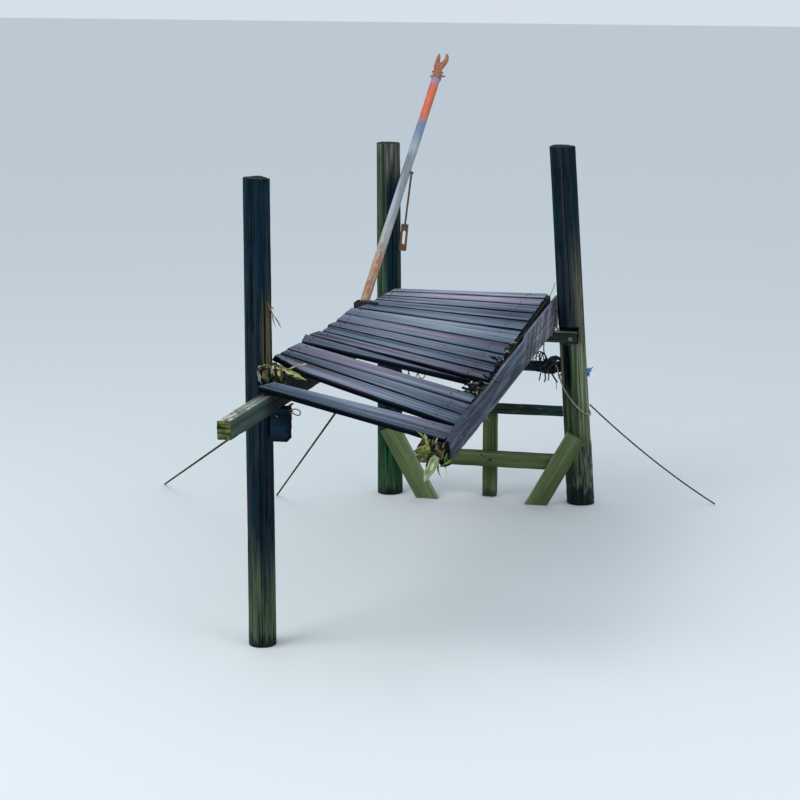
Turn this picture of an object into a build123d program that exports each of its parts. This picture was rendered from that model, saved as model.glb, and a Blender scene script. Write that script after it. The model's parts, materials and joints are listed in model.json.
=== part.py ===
from build123d import *
from math import asin, atan2, cos, hypot, radians, sin, sqrt, tan
import os

os.makedirs("parts", exist_ok=True)

# One bay of a broken timber jetty, in millimetres. The origin is the centre of the back left pile
# where it meets the water, +X runs across the deck, +Y along it towards the back, +Z is up.

# Driving dimensions
seat_gap = 0.3            # how close a piece lies to what carries it
bay_length = 4458         # between the centres of the two left piles
bay_width = 1789          # between the centres of the two back piles

# Piles: foot centre, how far the top stands off it, radius at foot and top, height
front_left_pile = dict(foot=(0, -bay_length), lean=(0, 0), foot_r=106, top_r=100, height=3485)
back_left_pile = dict(foot=(0, 0), lean=(-15, 0), foot_r=120, top_r=109, height=3264)
back_right_pile = dict(foot=(bay_width, 3), lean=(-204, -125), foot_r=123, top_r=118, height=3290)
pile_top_chamfer = 6

# Back bent
crosshead_top = 1610
crosshead_height = 100
crosshead_width = 100
crosshead_back = -50
crosshead_end = 1754
rail_thickness = 50
rail_back = 19
rope_rail_bottom, rope_rail_height = 1212, 98
upper_rail_bottom, upper_rail_height = 800, 98
lower_rail_bottom, lower_rail_height, lower_rail_width = 322, 128, 140
lower_rail_left, lower_rail_right = 262, 1540
post_left, post_width, post_depth, post_top = 865, 130, 105, 1400
brace_width, brace_thickness = 190, 45
brace_top_height = 659
brace_run = 362           # how far a brace's foot stands inwards of its head
left_brace_head, right_brace_head = 20, 1760

# Left bearer and what the deck stands on
bearer_width, bearer_height = 100, 140
bearer_back, bearer_front = 150, -5890
bearer_end_slant = 14     # how far its bottom front corner stands behind the top one
bearer_rise = 0.049       # height gained for each millimetre towards the front
deck_beam_width = 120
beam_back = 60
left_beam_overhang = 40   # in front of the deck's last plank
right_beam_front = -4960
right_beam_width, right_beam_height = 150, 150
stub_reach, stub_depth, stub_bottom, stub_slant = 245, 130, 1572, 12
stub_offset = 20          # how far its back stands behind the front pile's centre
stub_back = -bay_length + stub_offset
right_stub_front = -430

# Deck
plank_thickness = 50
deck_front = (-4526, -4489)    # front edge of the last plank at the deck's two sides
joint_gap = 12            # between two planks
wide_joint_gap = 30       # where a strip has rotted away
end_gap = 32              # between the planks' right ends and the stringer
deck_left = 80            # the leftmost that a plank's end beside the pole's foot reaches
deck_left_rise, deck_left_slope = 355, -0.040      # above the crosshead at the back pile, and its slope
deck_right_rise, deck_right_slope = 345, 0.045
deck_left_height = crosshead_top + deck_left_rise
deck_right_height = crosshead_top + deck_right_rise

# Stringer board along the right side
stringer_thickness = 30
stringer_side_gap = 12    # between the board and the back right pile
stringer_drop = 55        # how far its top edge at the pile lies below the deck's right end
stringer_taper = 0.002    # how far it closes in for each millimetre towards the front
stringer_back, stringer_front = 120, -5160
stringer_end_slant = 135  # how far its bottom front corner stands behind the top one

# Leaning pole and its fittings
pole_radius = 41
pole_foot_rise = 25       # above the deck's left end at the back
pole_foot_y = -1160
pole_length = 2820
pole_tilt = 50.2          # degrees off plumb
pole_rest_height = 2950   # where the pole touches the back left pile
cheek_thickness = 8
bracket_length, bracket_height = 130, 120
bracket_reach, bracket_depth = 45, 50     # in front of the pole's foot and below it
pin_radius, pin_end = 7, 14
collar_length, collar_thickness, cap_thickness = 60, 4, 12
hanger_height = 2985      # where the bar hangs on the pole
hanger_radius = 6
head_pin_radius, knob_radius, knob_length = 5, 8, 14
lower_pin_drop, upper_pin_rise = 18, 34

# Where the mooring ropes meet the water
left_mooring = (-2146, -174, 0)
middle_mooring = (-1004, -339, 0)
right_mooring = (3020, 160, -15)


def at_height(pile, z):
    """Centre and radius of a pile at height z."""
    share = z / pile["height"]
    x = pile["foot"][0] + pile["lean"][0] * share
    y = pile["foot"][1] + pile["lean"][1] * share
    return x, y, pile["foot_r"] + (pile["top_r"] - pile["foot_r"]) * share


def side_x(pile, z, side):
    """Where the pile's side lies at height z, on its +X side for side=1 and its -X side for -1."""
    x, y, r = at_height(pile, z)
    return x + side * r


def facing_x(point):
    """A plane through the point that faces along X, its own X along the jetty."""
    return Plane(origin=point, x_dir=(0, 1, 0), z_dir=(1, 0, 0))


def save(part, name):
    part.label = name
    export_step(part, "parts/" + name + ".step")


stringer_back_top = deck_right_height - stringer_drop


def bearer_bottom(y):
    return crosshead_top + seat_gap - bearer_rise * (y - crosshead_back)


def bearer_top(y):
    return bearer_bottom(y) + bearer_height


def left_beam_top(y):
    return deck_left_height - plank_thickness + deck_left_slope * y


def right_beam_top(y):
    return deck_right_height - plank_thickness + deck_right_slope * y


def stringer_outer(y):
    return side_x(back_right_pile, stringer_back_top, -1) - stringer_side_gap + stringer_taper * y


def stringer_inner(y):
    return stringer_outer(y) - stringer_thickness


def right_beam_left(y):
    return stringer_inner(y) - end_gap - right_beam_width


# Piles
def log(pile):
    with BuildPart() as trunk:
        with BuildSketch(Plane.XY.move(Location((*pile["foot"], 0)))):
            Circle(pile["foot_r"])
        top_x, top_y, top_r = at_height(pile, pile["height"])
        with BuildSketch(Plane.XY.move(Location((top_x, top_y, pile["height"])))):
            Circle(top_r)
        loft()
        top_rim = trunk.edges().group_by(Axis.Z)[-1].filter_by(GeomType.CIRCLE)
        chamfer(top_rim, length=pile_top_chamfer)
    return trunk


def cut_crosshead_notch(trunk, left, right):
    """The crosshead is let into the camera side of a pile, in a notch that is open to the front."""
    front = -bay_length / 10
    with BuildPart() as notched:
        add(trunk.part)
        with BuildSketch(Plane.XY.offset(crosshead_top - crosshead_height - seat_gap)):
            with Locations(((left + right) / 2, (front + crosshead_back + seat_gap) / 2)):
                Rectangle(right - left, crosshead_back + seat_gap - front)
        extrude(amount=crosshead_height + 2 * seat_gap, mode=Mode.SUBTRACT)
    return notched


crosshead_left = -80
save(log(front_left_pile).part, "pile_front_left")
notched_left = cut_crosshead_notch(log(back_left_pile), crosshead_left - seat_gap, bay_width / 2)
save(notched_left.part, "pile_back_left")
notched_right = cut_crosshead_notch(log(back_right_pile), bay_width / 2, crosshead_end + seat_gap)
save(notched_right.part, "pile_back_right")

# Back crosshead
with BuildPart() as back_crosshead:
    with BuildSketch(Plane.XY.offset(crosshead_top - crosshead_height)):
        with Locations(((crosshead_left + crosshead_end) / 2, crosshead_back - crosshead_width / 2)):
            Rectangle(crosshead_end - crosshead_left, crosshead_width)
    extrude(amount=crosshead_height)
save(back_crosshead.part, "back_crosshead")


# Rails between the back piles
def rail(bottom, height):
    left = side_x(back_left_pile, bottom, 1) + seat_gap
    right_top = side_x(back_right_pile, bottom + height, -1) - seat_gap
    right_bottom = side_x(back_right_pile, bottom, -1) - seat_gap
    with BuildPart() as board:
        with BuildSketch(Plane.XZ.offset(-rail_back)):
            with BuildLine():
                Polyline((left, bottom), (right_bottom, bottom), (right_top, bottom + height),
                         (left, bottom + height), close=True)
            make_face()
        extrude(amount=rail_thickness)
    return board


save(rail(rope_rail_bottom, rope_rail_height).part, "rope_rail")
save(rail(upper_rail_bottom, upper_rail_height).part, "upper_rail")

# Middle post
post_front = rail_back + seat_gap
with BuildPart() as middle_post:
    with BuildSketch():
        with Locations((post_left + post_width / 2, post_front + post_depth / 2)):
            Rectangle(post_width, post_depth)
    extrude(amount=post_top)
save(middle_post.part, "middle_post")


# Braces
brace_lean = atan2(brace_run, brace_top_height)


def brace(head_x, inwards, back_y):
    """A board from a pile's face down and inwards to the water, its head cut square."""
    along = (-inwards * sin(brace_lean), cos(brace_lean))
    across = (cos(brace_lean), inwards * sin(brace_lean))
    half = brace_width / 2
    heads = [(head_x + s * half * across[0], brace_top_height + s * half * across[1]) for s in (-1, 1)]
    feet = [(x - along[0] * z / along[1], 0) for x, z in heads]
    with BuildPart() as board:
        with BuildSketch(Plane.XZ.offset(-back_y)):
            with BuildLine():
                Polyline(feet[0], feet[1], heads[1], heads[0], close=True)
            make_face()
        extrude(amount=brace_thickness)
    return board


def front_y(pile, z):
    x, y, r = at_height(pile, z)
    return y - r


left_brace_back = front_y(back_left_pile, 0) - seat_gap
right_brace_back = front_y(back_right_pile, brace_top_height) - seat_gap
save(brace(left_brace_head, 1, left_brace_back).part, "left_brace")
save(brace(right_brace_head, -1, right_brace_back).part, "right_brace")

# Lower rail, from the back of one brace to the back of the other
left_brace_edge = (left_brace_head + brace_run * (1 - lower_rail_bottom / brace_top_height)
                   + brace_width / 2 / cos(brace_lean))
lower_turn = atan2(right_brace_back - left_brace_back, lower_rail_right - left_brace_edge)
lower_run = (lower_rail_right - lower_rail_left) / cos(lower_turn)
lower_front = left_brace_back + seat_gap - (left_brace_edge - lower_rail_left) * tan(lower_turn)
lower_plane = Plane(
    origin=(lower_rail_left, lower_front, lower_rail_bottom),
    x_dir=(cos(lower_turn), sin(lower_turn), 0),
    z_dir=(0, 0, 1),
)
with BuildPart() as lower_rail:
    with BuildSketch(lower_plane):
        with Locations((lower_run / 2, lower_rail_width / 2)):
            Rectangle(lower_run, lower_rail_width)
    extrude(amount=lower_rail_height)
    with BuildSketch(Plane.XY.offset(lower_rail_bottom)):
        with Locations((post_left + post_width / 2, post_front + post_depth / 2)):
            Rectangle(post_width + 2 * seat_gap, post_depth + 2 * seat_gap)
    extrude(amount=lower_rail_height, mode=Mode.SUBTRACT)
save(lower_rail.part, "lower_rail")

# Left bearer, along the inner sides of the two left piles
bearer_face_back = side_x(back_left_pile, crosshead_top, 1) + seat_gap
bearer_face_front = side_x(front_left_pile, bearer_bottom(-bay_length), 1) + seat_gap
bearer_turn = atan2(bearer_face_back - bearer_face_front, bay_length)
bearer_plane = Plane(
    origin=(bearer_face_back, 0, 0),
    x_dir=(sin(bearer_turn), cos(bearer_turn), 0),
    z_dir=(cos(bearer_turn), -sin(bearer_turn), 0),
)


def bearer_face(y):
    return bearer_face_back + y * tan(bearer_turn)


with BuildPart() as left_bearer:
    with BuildSketch(bearer_plane):
        with BuildLine():
            Polyline((bearer_back, bearer_bottom(bearer_back)), (bearer_back, bearer_top(bearer_back)),
                     (bearer_front, bearer_top(bearer_front)),
                     (bearer_front + bearer_end_slant, bearer_bottom(bearer_front)), close=True)
        make_face()
    extrude(amount=bearer_width)
save(left_bearer.part, "left_bearer")

# Left deck beam, on the bearer
left_beam_front = deck_front[0] - left_beam_overhang
with BuildPart() as left_deck_beam:
    with BuildSketch(bearer_plane):
        with BuildLine():
            Polyline((beam_back, bearer_top(beam_back) + seat_gap), (beam_back, left_beam_top(beam_back)),
                     (left_beam_front, left_beam_top(left_beam_front)),
                     (left_beam_front, bearer_top(left_beam_front) + seat_gap), close=True)
        make_face()
    extrude(amount=deck_beam_width)
save(left_deck_beam.part, "left_deck_beam")

# What is left of the front crosshead, under the bearer at the pile's side
stub_left = side_x(front_left_pile, stub_bottom, 1) + seat_gap
stub_front = stub_back - stub_depth
with BuildPart() as crosshead_stub:
    with BuildSketch(Plane.YZ.offset(stub_left)):
        with BuildLine():
            Polyline((stub_back, bearer_bottom(stub_back) - seat_gap), (stub_back, stub_bottom + stub_slant),
                     (stub_front, stub_bottom), (stub_front, bearer_bottom(stub_front) - seat_gap),
                     close=True)
        make_face()
    extrude(amount=stub_reach - stub_left)
save(crosshead_stub.part, "crosshead_stub")

# Stringer board, a deep board on the crosshead that closes in a little towards the front
stringer_turn = atan2(stringer_taper, 1)
stringer_plane = Plane(
    origin=(stringer_inner(0), 0, 0),
    x_dir=(sin(stringer_turn), cos(stringer_turn), 0),
    z_dir=(cos(stringer_turn), -sin(stringer_turn), 0),
)
stringer_bottom = crosshead_top + seat_gap
stringer_edge = [(stringer_back, 0), (-1700, 22), (-1760, 58), (-2700, 58), (-3450, 82), (-4700, 68),
                 (-5000, 103), (stringer_front, 125)]
stringer_top = [(y, stringer_back_top - drop) for y, drop in stringer_edge]
with BuildPart() as right_stringer:
    with BuildSketch(stringer_plane):
        with BuildLine():
            Polyline((stringer_front + stringer_end_slant, stringer_bottom), (stringer_back, stringer_bottom),
                     *stringer_top, close=True)
        make_face()
    extrude(amount=stringer_thickness)
save(right_stringer.part, "right_stringer")

# Right deck beam, under the planks' right ends
inner_plane = stringer_plane.offset(-right_beam_width - end_gap)


def right_beam_bottom(y):
    return right_beam_top(y) - right_beam_height


with BuildPart() as right_deck_beam:
    with BuildSketch(inner_plane):
        with BuildLine():
            Polyline((beam_back, right_beam_bottom(beam_back)), (beam_back, right_beam_top(beam_back)),
                     (right_beam_front, right_beam_top(right_beam_front)),
                     (right_beam_front, right_beam_bottom(right_beam_front)), close=True)
        make_face()
    extrude(amount=right_beam_width)
save(right_deck_beam.part, "right_deck_beam")

# Short end of the right bearer, between the crosshead and the right deck beam
with BuildPart() as right_bearer_stub:
    with BuildSketch(inner_plane):
        with BuildLine():
            Polyline((beam_back, stringer_bottom), (beam_back, right_beam_bottom(beam_back) - seat_gap),
                     (right_stub_front, right_beam_bottom(right_stub_front) - seat_gap),
                     (right_stub_front, stringer_bottom), close=True)
        make_face()
    extrude(amount=bearer_width)
save(right_bearer_stub.part, "right_bearer_stub")


# Deck planks
joint_inset = 20          # how far inside the deck's sides the places of the planks' edges are given
joint_left, joint_right = deck_left + joint_inset, stringer_inner(0) - end_gap - joint_inset


def edge_y(edge, x):
    """Where a plank's edge lies at x, from its places at joint_left and joint_right."""
    return edge[0] + (edge[1] - edge[0]) * (x - joint_left) / (joint_right - joint_left)


def plank_outline(back, front, left, broken=(), right=None):
    """A plank from above: its two edges, its left end at the back and front, and a broken corner."""
    if right is None:
        right = stringer_inner(front[1]) - end_gap
    points = [(left[0], edge_y(back, left[0])), (right, edge_y(back, right)), (right, edge_y(front, right))]
    if broken:
        return points + [(left[1], edge_y(front, left[1])), *broken]
    return points + [(left[1], edge_y(front, left[1]))]


def over(outline, start, end):
    """The corners of the part of an outline that lies between two values of x."""
    points = [point for point in outline if start <= point[0] <= end]
    for (x1, y1), (x2, y2) in zip(outline, outline[1:] + outline[:1]):
        for x in (start, end):
            if min(x1, x2) < x < max(x1, x2):
                points.append((x, y1 + (y2 - y1) * (x - x1) / (x2 - x1)))
    return points


def plank_rest(outline, left_top, carrier_width):
    """Height at x=0 and slope of the underside of a plank that rests on both its carriers."""
    left_face = bearer_face(outline[0][1])
    inner = right_beam_left(outline[0][1])
    left_points = [(x, left_top(y)) for x, y in over(outline, left_face, left_face + carrier_width)]
    right_points = [(x, right_beam_top(y)) for x, y in over(outline, inner, inner + right_beam_width)]
    slope = 0.0
    for turn in range(4):
        left_point = max(left_points, key=lambda point: point[1] - slope * point[0])
        right_point = max(right_points, key=lambda point: point[1] - slope * point[0])
        slope = (right_point[1] - left_point[1]) / (right_point[0] - left_point[0])
    return left_point[1] - slope * left_point[0] + seat_gap, slope


def plank_plane(height, slope):
    return Plane(origin=(0, 0, height), x_dir=(1, 0, slope), z_dir=(-slope, 0, 1))


def plank(outline, left_top, carrier_width):
    """A flat board whose ends, leaning with its slope, stay within its outline."""
    height, slope = plank_rest(outline, left_top, carrier_width)
    stretch = hypot(1, slope)
    lean = slope * plank_thickness / stretch
    with BuildPart() as board:
        with BuildSketch(plank_plane(height, slope)):
            with BuildLine():
                Polyline(*[((x + (max(0, lean) if x < bay_width / 2 else min(0, lean))) * stretch, y)
                           for x, y in outline], close=True)
            make_face()
        extrude(amount=plank_thickness)
    return board


# Back edge of each deck plank at the deck's two sides, from the back to the front
plank_backs = [
    (-206, -49), (-433, -294), (-733, -577), (-1043, -886), (-1356, -1196), (-1677, -1547), (-2060, -2040),
    (-2448, -2394), (-2728, -2710), (-3031, -2981), (-3306, -3219), (-3668, -3642), (-4026, -3906),
    (-4248, -4221),
]
# Left end of each plank at its back and front edge, as far as it stands off deck_left
plank_lefts = [
    (6, 6), (6, 6), (6, 6), (0, 0), (-8, -8), (-59, -33), (-33, -8), (6, -8), (5, 20), (-5, -18), (-48, 9),
    (4, -3), (-2, 3), (0, 260),
]
wide_joint_after = 5      # the plank behind the wide joint
broken_board = 11         # its front edge runs off in a long taper, which leaves a wedge open
broken_board_front = (-3621, -3213)
broken_board_reach = 30   # how far its thin end lies over the right deck beam
broken_corner = [(220, -4450), (100, -4400)]
outlines = []
for number, (back, left) in enumerate(zip(plank_backs, plank_lefts), start=1):
    left_end = [deck_left + shift for shift in left]
    if number == len(plank_backs):
        outline = plank_outline(back, deck_front, left_end, broken_corner)
    elif number == broken_board:
        board_right = right_beam_left(broken_board_front[1]) + broken_board_reach
        outline = plank_outline(back, broken_board_front, left_end, right=board_right)
    else:
        gap = wide_joint_gap if number == wide_joint_after else joint_gap
        outline = plank_outline(back, [y + gap for y in plank_backs[number]], left_end)
    outlines.append(outline)
for number, outline in enumerate(outlines, start=1):
    save(plank(outline, left_beam_top, deck_beam_width).part, "deck_plank_%02d" % number)

# Front plank, slid down onto the bearer in front of the front left pile
front_plank_gap, front_plank_width, front_plank_left = (62, 17), (283, 374), (51, 15)
front_plank_back = [y - gap for y, gap in zip(deck_front, front_plank_gap)]
front_plank_front = [y - width for y, width in zip(front_plank_back, front_plank_width)]
front_plank_end = [deck_left + shift for shift in front_plank_left]
front_outline = plank_outline(front_plank_back, front_plank_front, front_plank_end)
front_seat = (front_outline, bearer_top, bearer_width)
save(plank(*front_seat).part, "front_plank")

# Leaning pole. Its foot stands beside the plank ends and it rests against the back left pile.
cheek_inner = pole_radius + 9
pole_foot_x = deck_left - seat_gap - cheek_thickness - cheek_inner
pole_foot_height = deck_left_height + pole_foot_rise
rest_radius = at_height(back_left_pile, pole_rest_height)[2] + pole_radius + seat_gap
rest_centre = at_height(back_left_pile, pole_rest_height)[0]
foot_distance = hypot(pole_foot_x - rest_centre, pole_foot_y)
pole_turn = asin(rest_radius / foot_distance) - atan2(pole_foot_x - rest_centre, -pole_foot_y)
tilt = radians(pole_tilt)
pole_direction = Vector(sin(tilt) * sin(pole_turn), sin(tilt) * cos(pole_turn), cos(tilt))
pole_foot = Vector(pole_foot_x, pole_foot_y, pole_foot_height)
across_pole = Vector(cos(pole_turn), -sin(pole_turn), 0)
pole_plane = Plane(origin=pole_foot, x_dir=across_pole, z_dir=pole_direction)


def on_pole(z):
    return pole_foot + pole_direction * ((z - pole_foot_height) / pole_direction.Z)


hanger_point = on_pole(hanger_height)
hanger_plane = facing_x(hanger_point)
lower_pin_point = pole_foot + pole_direction * (pole_length - lower_pin_drop)
lower_pin_plane = Plane(origin=lower_pin_point, x_dir=pole_direction, z_dir=across_pole)
pin_offset = 45
pin_point = pole_foot + pole_direction * pin_offset
bracket_pin_plane = facing_x(Vector(pole_foot_x, pin_point.Y, pin_point.Z))
with BuildPart() as leaning_pole:
    with BuildSketch(pole_plane):
        Circle(pole_radius)
    extrude(amount=pole_length)
    with BuildSketch(bracket_pin_plane):
        Circle(pin_radius + seat_gap)
    extrude(amount=2 * pole_radius, both=True, mode=Mode.SUBTRACT)
    with BuildSketch(hanger_plane):
        Circle(hanger_radius + seat_gap)
    extrude(amount=2 * pole_radius, mode=Mode.SUBTRACT)
    with BuildSketch(lower_pin_plane):
        Circle(head_pin_radius + seat_gap)
    extrude(amount=2 * pole_radius, both=True, mode=Mode.SUBTRACT)
save(leaning_pole.part, "leaning_pole")

# Bracket: a base, two cheeks and a front plate round the foot of the pole, and a strap on the deck
strap_length, strap_width, strap_thickness, strap_back = 140, 30, 12, 15
pole_plank = next(outline for outline in outlines if outline[-1][1] < pole_foot_y < outline[0][1])
bracket_front = pole_foot_y - bracket_reach
bracket_bottom = pole_foot_height - bracket_depth
with BuildPart() as pole_bracket:
    base_plane = Plane.XY.offset(bracket_bottom)
    with BuildSketch(base_plane):
        with Locations((pole_foot_x, bracket_front + bracket_length / 2)):
            Rectangle(2 * (cheek_inner + cheek_thickness), bracket_length)
    extrude(amount=cheek_thickness)
    for side in (-1, 1):
        cheek_centre = pole_foot_x + side * (cheek_inner + cheek_thickness / 2)
        with BuildSketch(base_plane):
            with Locations((cheek_centre, bracket_front + bracket_length / 2)):
                Rectangle(cheek_thickness, bracket_length)
        extrude(amount=bracket_height)
    with BuildSketch(base_plane):
        with Locations((pole_foot_x, bracket_front + cheek_thickness / 2)):
            Rectangle(2 * cheek_inner + cheek_thickness, cheek_thickness)
    extrude(amount=bracket_height)
    strap_plane = plank_plane(*plank_rest(pole_plank, left_beam_top, deck_beam_width))
    strap_centre = (pole_foot_x + cheek_inner + strap_length / 2, pole_foot_y + strap_back - strap_width / 2)
    with BuildSketch(strap_plane.offset(plank_thickness + seat_gap)):
        with Locations(strap_centre):
            Rectangle(strap_length, strap_width)
    extrude(amount=strap_thickness)
    with BuildSketch(bracket_pin_plane):
        Circle(pin_radius + seat_gap)
    extrude(amount=3 * pole_radius, both=True, mode=Mode.SUBTRACT)
save(pole_bracket.part, "pole_bracket")

with BuildPart() as bracket_pin:
    with BuildSketch(bracket_pin_plane.offset(-cheek_inner - cheek_thickness - pin_end)):
        Circle(pin_radius)
    extrude(amount=2 * cheek_inner + 2 * cheek_thickness + pin_end)
save(bracket_pin.part, "bracket_pin")

# Fork head: a collar on the pole's top and a crutch with two prongs
collar_plane = pole_plane.offset(pole_length - collar_length)
with BuildPart() as fork_head:
    with BuildSketch(collar_plane):
        Circle(pole_radius + collar_thickness)
    extrude(amount=collar_length + seat_gap + cap_thickness)
    with BuildSketch(collar_plane):
        Circle(pole_radius + seat_gap)
    extrude(amount=collar_length + seat_gap, mode=Mode.SUBTRACT)
    cap_plane = pole_plane.offset(pole_length + seat_gap + cap_thickness / 2)
    fork_normal = pole_direction.cross(across_pole) * -1
    fork_plane = Plane(origin=cap_plane.origin, x_dir=across_pole, z_dir=fork_normal)
    with BuildSketch(fork_plane):
        with BuildLine():
            Polyline((-34, 0), (-50, 60), (-55, 100), (-55, 200), (-50, 251), (-43, 263), (-33, 255),
                     (-29, 233), (-20, 141), (7, 147), (22, 170), (29, 196), (27, 245), (33, 262),
                     (42, 262), (50, 250), (57, 205), (50, 150), (35, 110), (20, 70), (30, 0), close=True)
        make_face()
    extrude(amount=17, both=True)
    upper_pin_point = cap_plane.origin + pole_direction * upper_pin_rise
    upper_pin_plane = Plane(origin=upper_pin_point, x_dir=pole_direction, z_dir=across_pole)
    for pin_plane in (lower_pin_plane, upper_pin_plane):
        with BuildSketch(pin_plane):
            Circle(head_pin_radius + seat_gap)
        extrude(amount=2 * pole_radius, both=True, mode=Mode.SUBTRACT)
save(fork_head.part, "fork_head")

# Two pins with knobs through the pole's head: the lower one ends in a ring, the upper one in a bent tail
lower_pin_left, lower_pin_right, ring_radius, ring_thickness = -49, 62, 12, 4
with BuildPart() as fork_pin_lower:
    with BuildSketch(lower_pin_plane.offset(lower_pin_left)):
        Circle(head_pin_radius)
    extrude(amount=lower_pin_right - lower_pin_left)
    with BuildSketch(lower_pin_plane.offset(lower_pin_right)):
        Circle(knob_radius)
    extrude(amount=knob_length)
    ring_centre = lower_pin_point + across_pole * (lower_pin_left - ring_radius + ring_thickness - 1)
    with BuildSketch(Plane(origin=ring_centre, x_dir=across_pole, z_dir=fork_normal)):
        Circle(ring_radius)
        Circle(ring_radius - ring_thickness, mode=Mode.SUBTRACT)
    extrude(amount=ring_thickness / 2, both=True)
save(fork_pin_lower.part, "fork_pin_lower")

upper_pin_left, upper_pin_right, tail_length, tail_turn = -46, 40, 24, radians(50)
with BuildPart() as fork_pin_upper:
    with BuildSketch(upper_pin_plane.offset(upper_pin_left)):
        Circle(head_pin_radius)
    extrude(amount=upper_pin_right - upper_pin_left)
    with BuildSketch(upper_pin_plane.offset(upper_pin_left - knob_length)):
        Circle(knob_radius)
    extrude(amount=knob_length)
    tail_start = upper_pin_point + across_pole * (upper_pin_right - head_pin_radius)
    tail_direction = across_pole * cos(tail_turn) - pole_direction * sin(tail_turn)
    with BuildSketch(Plane(origin=tail_start, z_dir=tail_direction)):
        Circle(head_pin_radius)
    extrude(amount=tail_length)
save(fork_pin_upper.part, "fork_pin_upper")

# Hanging bar: an eye on the hanger bolt, a round rod and a slotted plate that rests on the pile
eye_inner, eye_outer, eye_thickness = hanger_radius + seat_gap, 18, 12
rod_radius = 9
plate_width, plate_height, plate_thickness = 66, 245, 9
slot_width, slot_height = 27, 125
eye_clearance = 5
plate_bottom = 2285
plate_y = -48
eye_centre = hanger_point + Vector(pole_radius / cos(pole_turn) + eye_clearance + eye_thickness / 2, 0, 0)
pile_x, pile_y, pile_r = at_height(back_left_pile, plate_bottom)
plate_rest_x = pile_x + sqrt(pile_r ** 2 - (plate_y + plate_thickness / 2) ** 2) + seat_gap
plate_foot = Vector(plate_rest_x + plate_width / 2, plate_y, plate_bottom)
plate_rise = Vector(eye_centre.X - plate_foot.X, 0, eye_centre.Z - plate_foot.Z).normalized()
rod_foot = plate_foot + plate_rise * (plate_height - 12)
rod_rise = (eye_centre - rod_foot).normalized()
rod_top = eye_centre - rod_rise * (eye_outer - 3)
with BuildPart() as hanging_bar:
    with BuildSketch(facing_x(eye_centre).offset(-eye_thickness / 2)):
        Circle(eye_outer)
    extrude(amount=eye_thickness)
    with BuildSketch(Plane(origin=rod_foot, z_dir=rod_rise)):
        Circle(rod_radius)
    extrude(amount=(rod_top - rod_foot).length)
    with BuildSketch(Plane(origin=plate_foot, x_dir=plate_rise, z_dir=(0, -1, 0))):
        with Locations((plate_height / 2, 0)):
            RectangleRounded(plate_height, plate_width, 8)
            SlotOverall(slot_height, slot_width, mode=Mode.SUBTRACT)
    extrude(amount=plate_thickness / 2, both=True)
    with BuildSketch(facing_x(eye_centre).offset(-eye_thickness)):
        Circle(eye_inner)
    extrude(amount=2 * eye_thickness, mode=Mode.SUBTRACT)
save(hanging_bar.part, "hanging_bar")

with BuildPart() as hanger_bolt:
    with BuildSketch(hanger_plane):
        Circle(hanger_radius)
    extrude(amount=pole_radius + eye_clearance + eye_thickness + 8)
    with BuildSketch(hanger_plane.offset(pole_radius + eye_clearance + eye_thickness + 3)):
        RegularPolygon(radius=11, side_count=6)
    extrude(amount=7)
save(hanger_bolt.part, "hanger_bolt")

# Shackle and its bolt at the end of the crosshead stub
shackle_point = Vector(stub_reach + seat_gap, stub_front + 35, bearer_bottom(stub_front) - 30)
shank_length, eye_reach, ring_outer, ring_inner = 36, 60, 38, 24
with BuildPart() as shackle:
    with BuildSketch(facing_x(shackle_point)):
        RegularPolygon(radius=15, side_count=6)
    extrude(amount=14)
    with BuildSketch(facing_x(shackle_point)):
        Circle(9)
    extrude(amount=shank_length)
    with BuildSketch(Plane(origin=shackle_point + Vector(eye_reach, 0, -6), z_dir=(0, 1, 0))):
        Circle(ring_outer)
        Circle(ring_inner, mode=Mode.SUBTRACT)
    extrude(amount=7, both=True)
save(shackle.part, "shackle")


# Mooring ropes, all taut, down to the water
rope_radius = 8


def straight_rope(under, normal, end):
    """A taut rope from just below a surface, cut level where it meets the water."""
    normal = Vector(*normal).normalized()
    direction = (Vector(*end) - Vector(*under)).normalized()
    drop = seat_gap + rope_radius * sqrt(1 - normal.dot(direction) ** 2)
    start = Vector(*under) - normal * drop
    run = Vector(*end) - start
    with BuildPart() as rope:
        with BuildSketch(Plane(origin=start, z_dir=run)):
            Circle(rope_radius)
        extrude(amount=run.length + 4 * rope_radius)
        split(bisect_by=Plane.XY, keep=Keep.TOP)
    return rope


left_rope_y = -5660
left_rope_under = (bearer_face(left_rope_y) + bearer_width / 2, left_rope_y, bearer_bottom(left_rope_y))
left_rope = straight_rope(left_rope_under, (0, bearer_rise, 1), left_mooring)
save(left_rope.part, "mooring_rope_left")

front_height, front_slope = plank_rest(*front_seat)
middle_rope_x = 655
middle_rope_under = (middle_rope_x, -4740, front_height + front_slope * middle_rope_x)
middle_rope = straight_rope(middle_rope_under, (-front_slope, 0, 1), middle_mooring)
save(middle_rope.part, "mooring_rope_middle")

# The right rope hangs in a shallow curve from the back right pile
right_rope_height = 930
right_rope_side = side_x(back_right_pile, right_rope_height, 1)
right_rope_fall = right_rope_height / hypot(right_rope_height, right_mooring[0] - right_rope_side)
right_rope_x = right_rope_side + rope_radius * right_rope_fall + 4 * seat_gap
right_rope_y = at_height(back_right_pile, right_rope_height)[1]
right_rope_sag = 45
with BuildPart() as mooring_rope_right:
    middle = ((right_rope_x + right_mooring[0]) / 2, (right_rope_y + right_mooring[1]) / 2,
              (right_rope_height + right_mooring[2]) / 2 - right_rope_sag)
    with BuildLine() as right_route:
        ThreePointArc((right_rope_x, right_rope_y, right_rope_height), middle, right_mooring)
    with BuildSketch(Plane(origin=right_route.line @ 0, z_dir=right_route.line % 0)):
        Circle(rope_radius)
    sweep()
    split(bisect_by=Plane.XY, keep=Keep.TOP)
save(mooring_rope_right.part, "mooring_rope_right")

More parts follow.
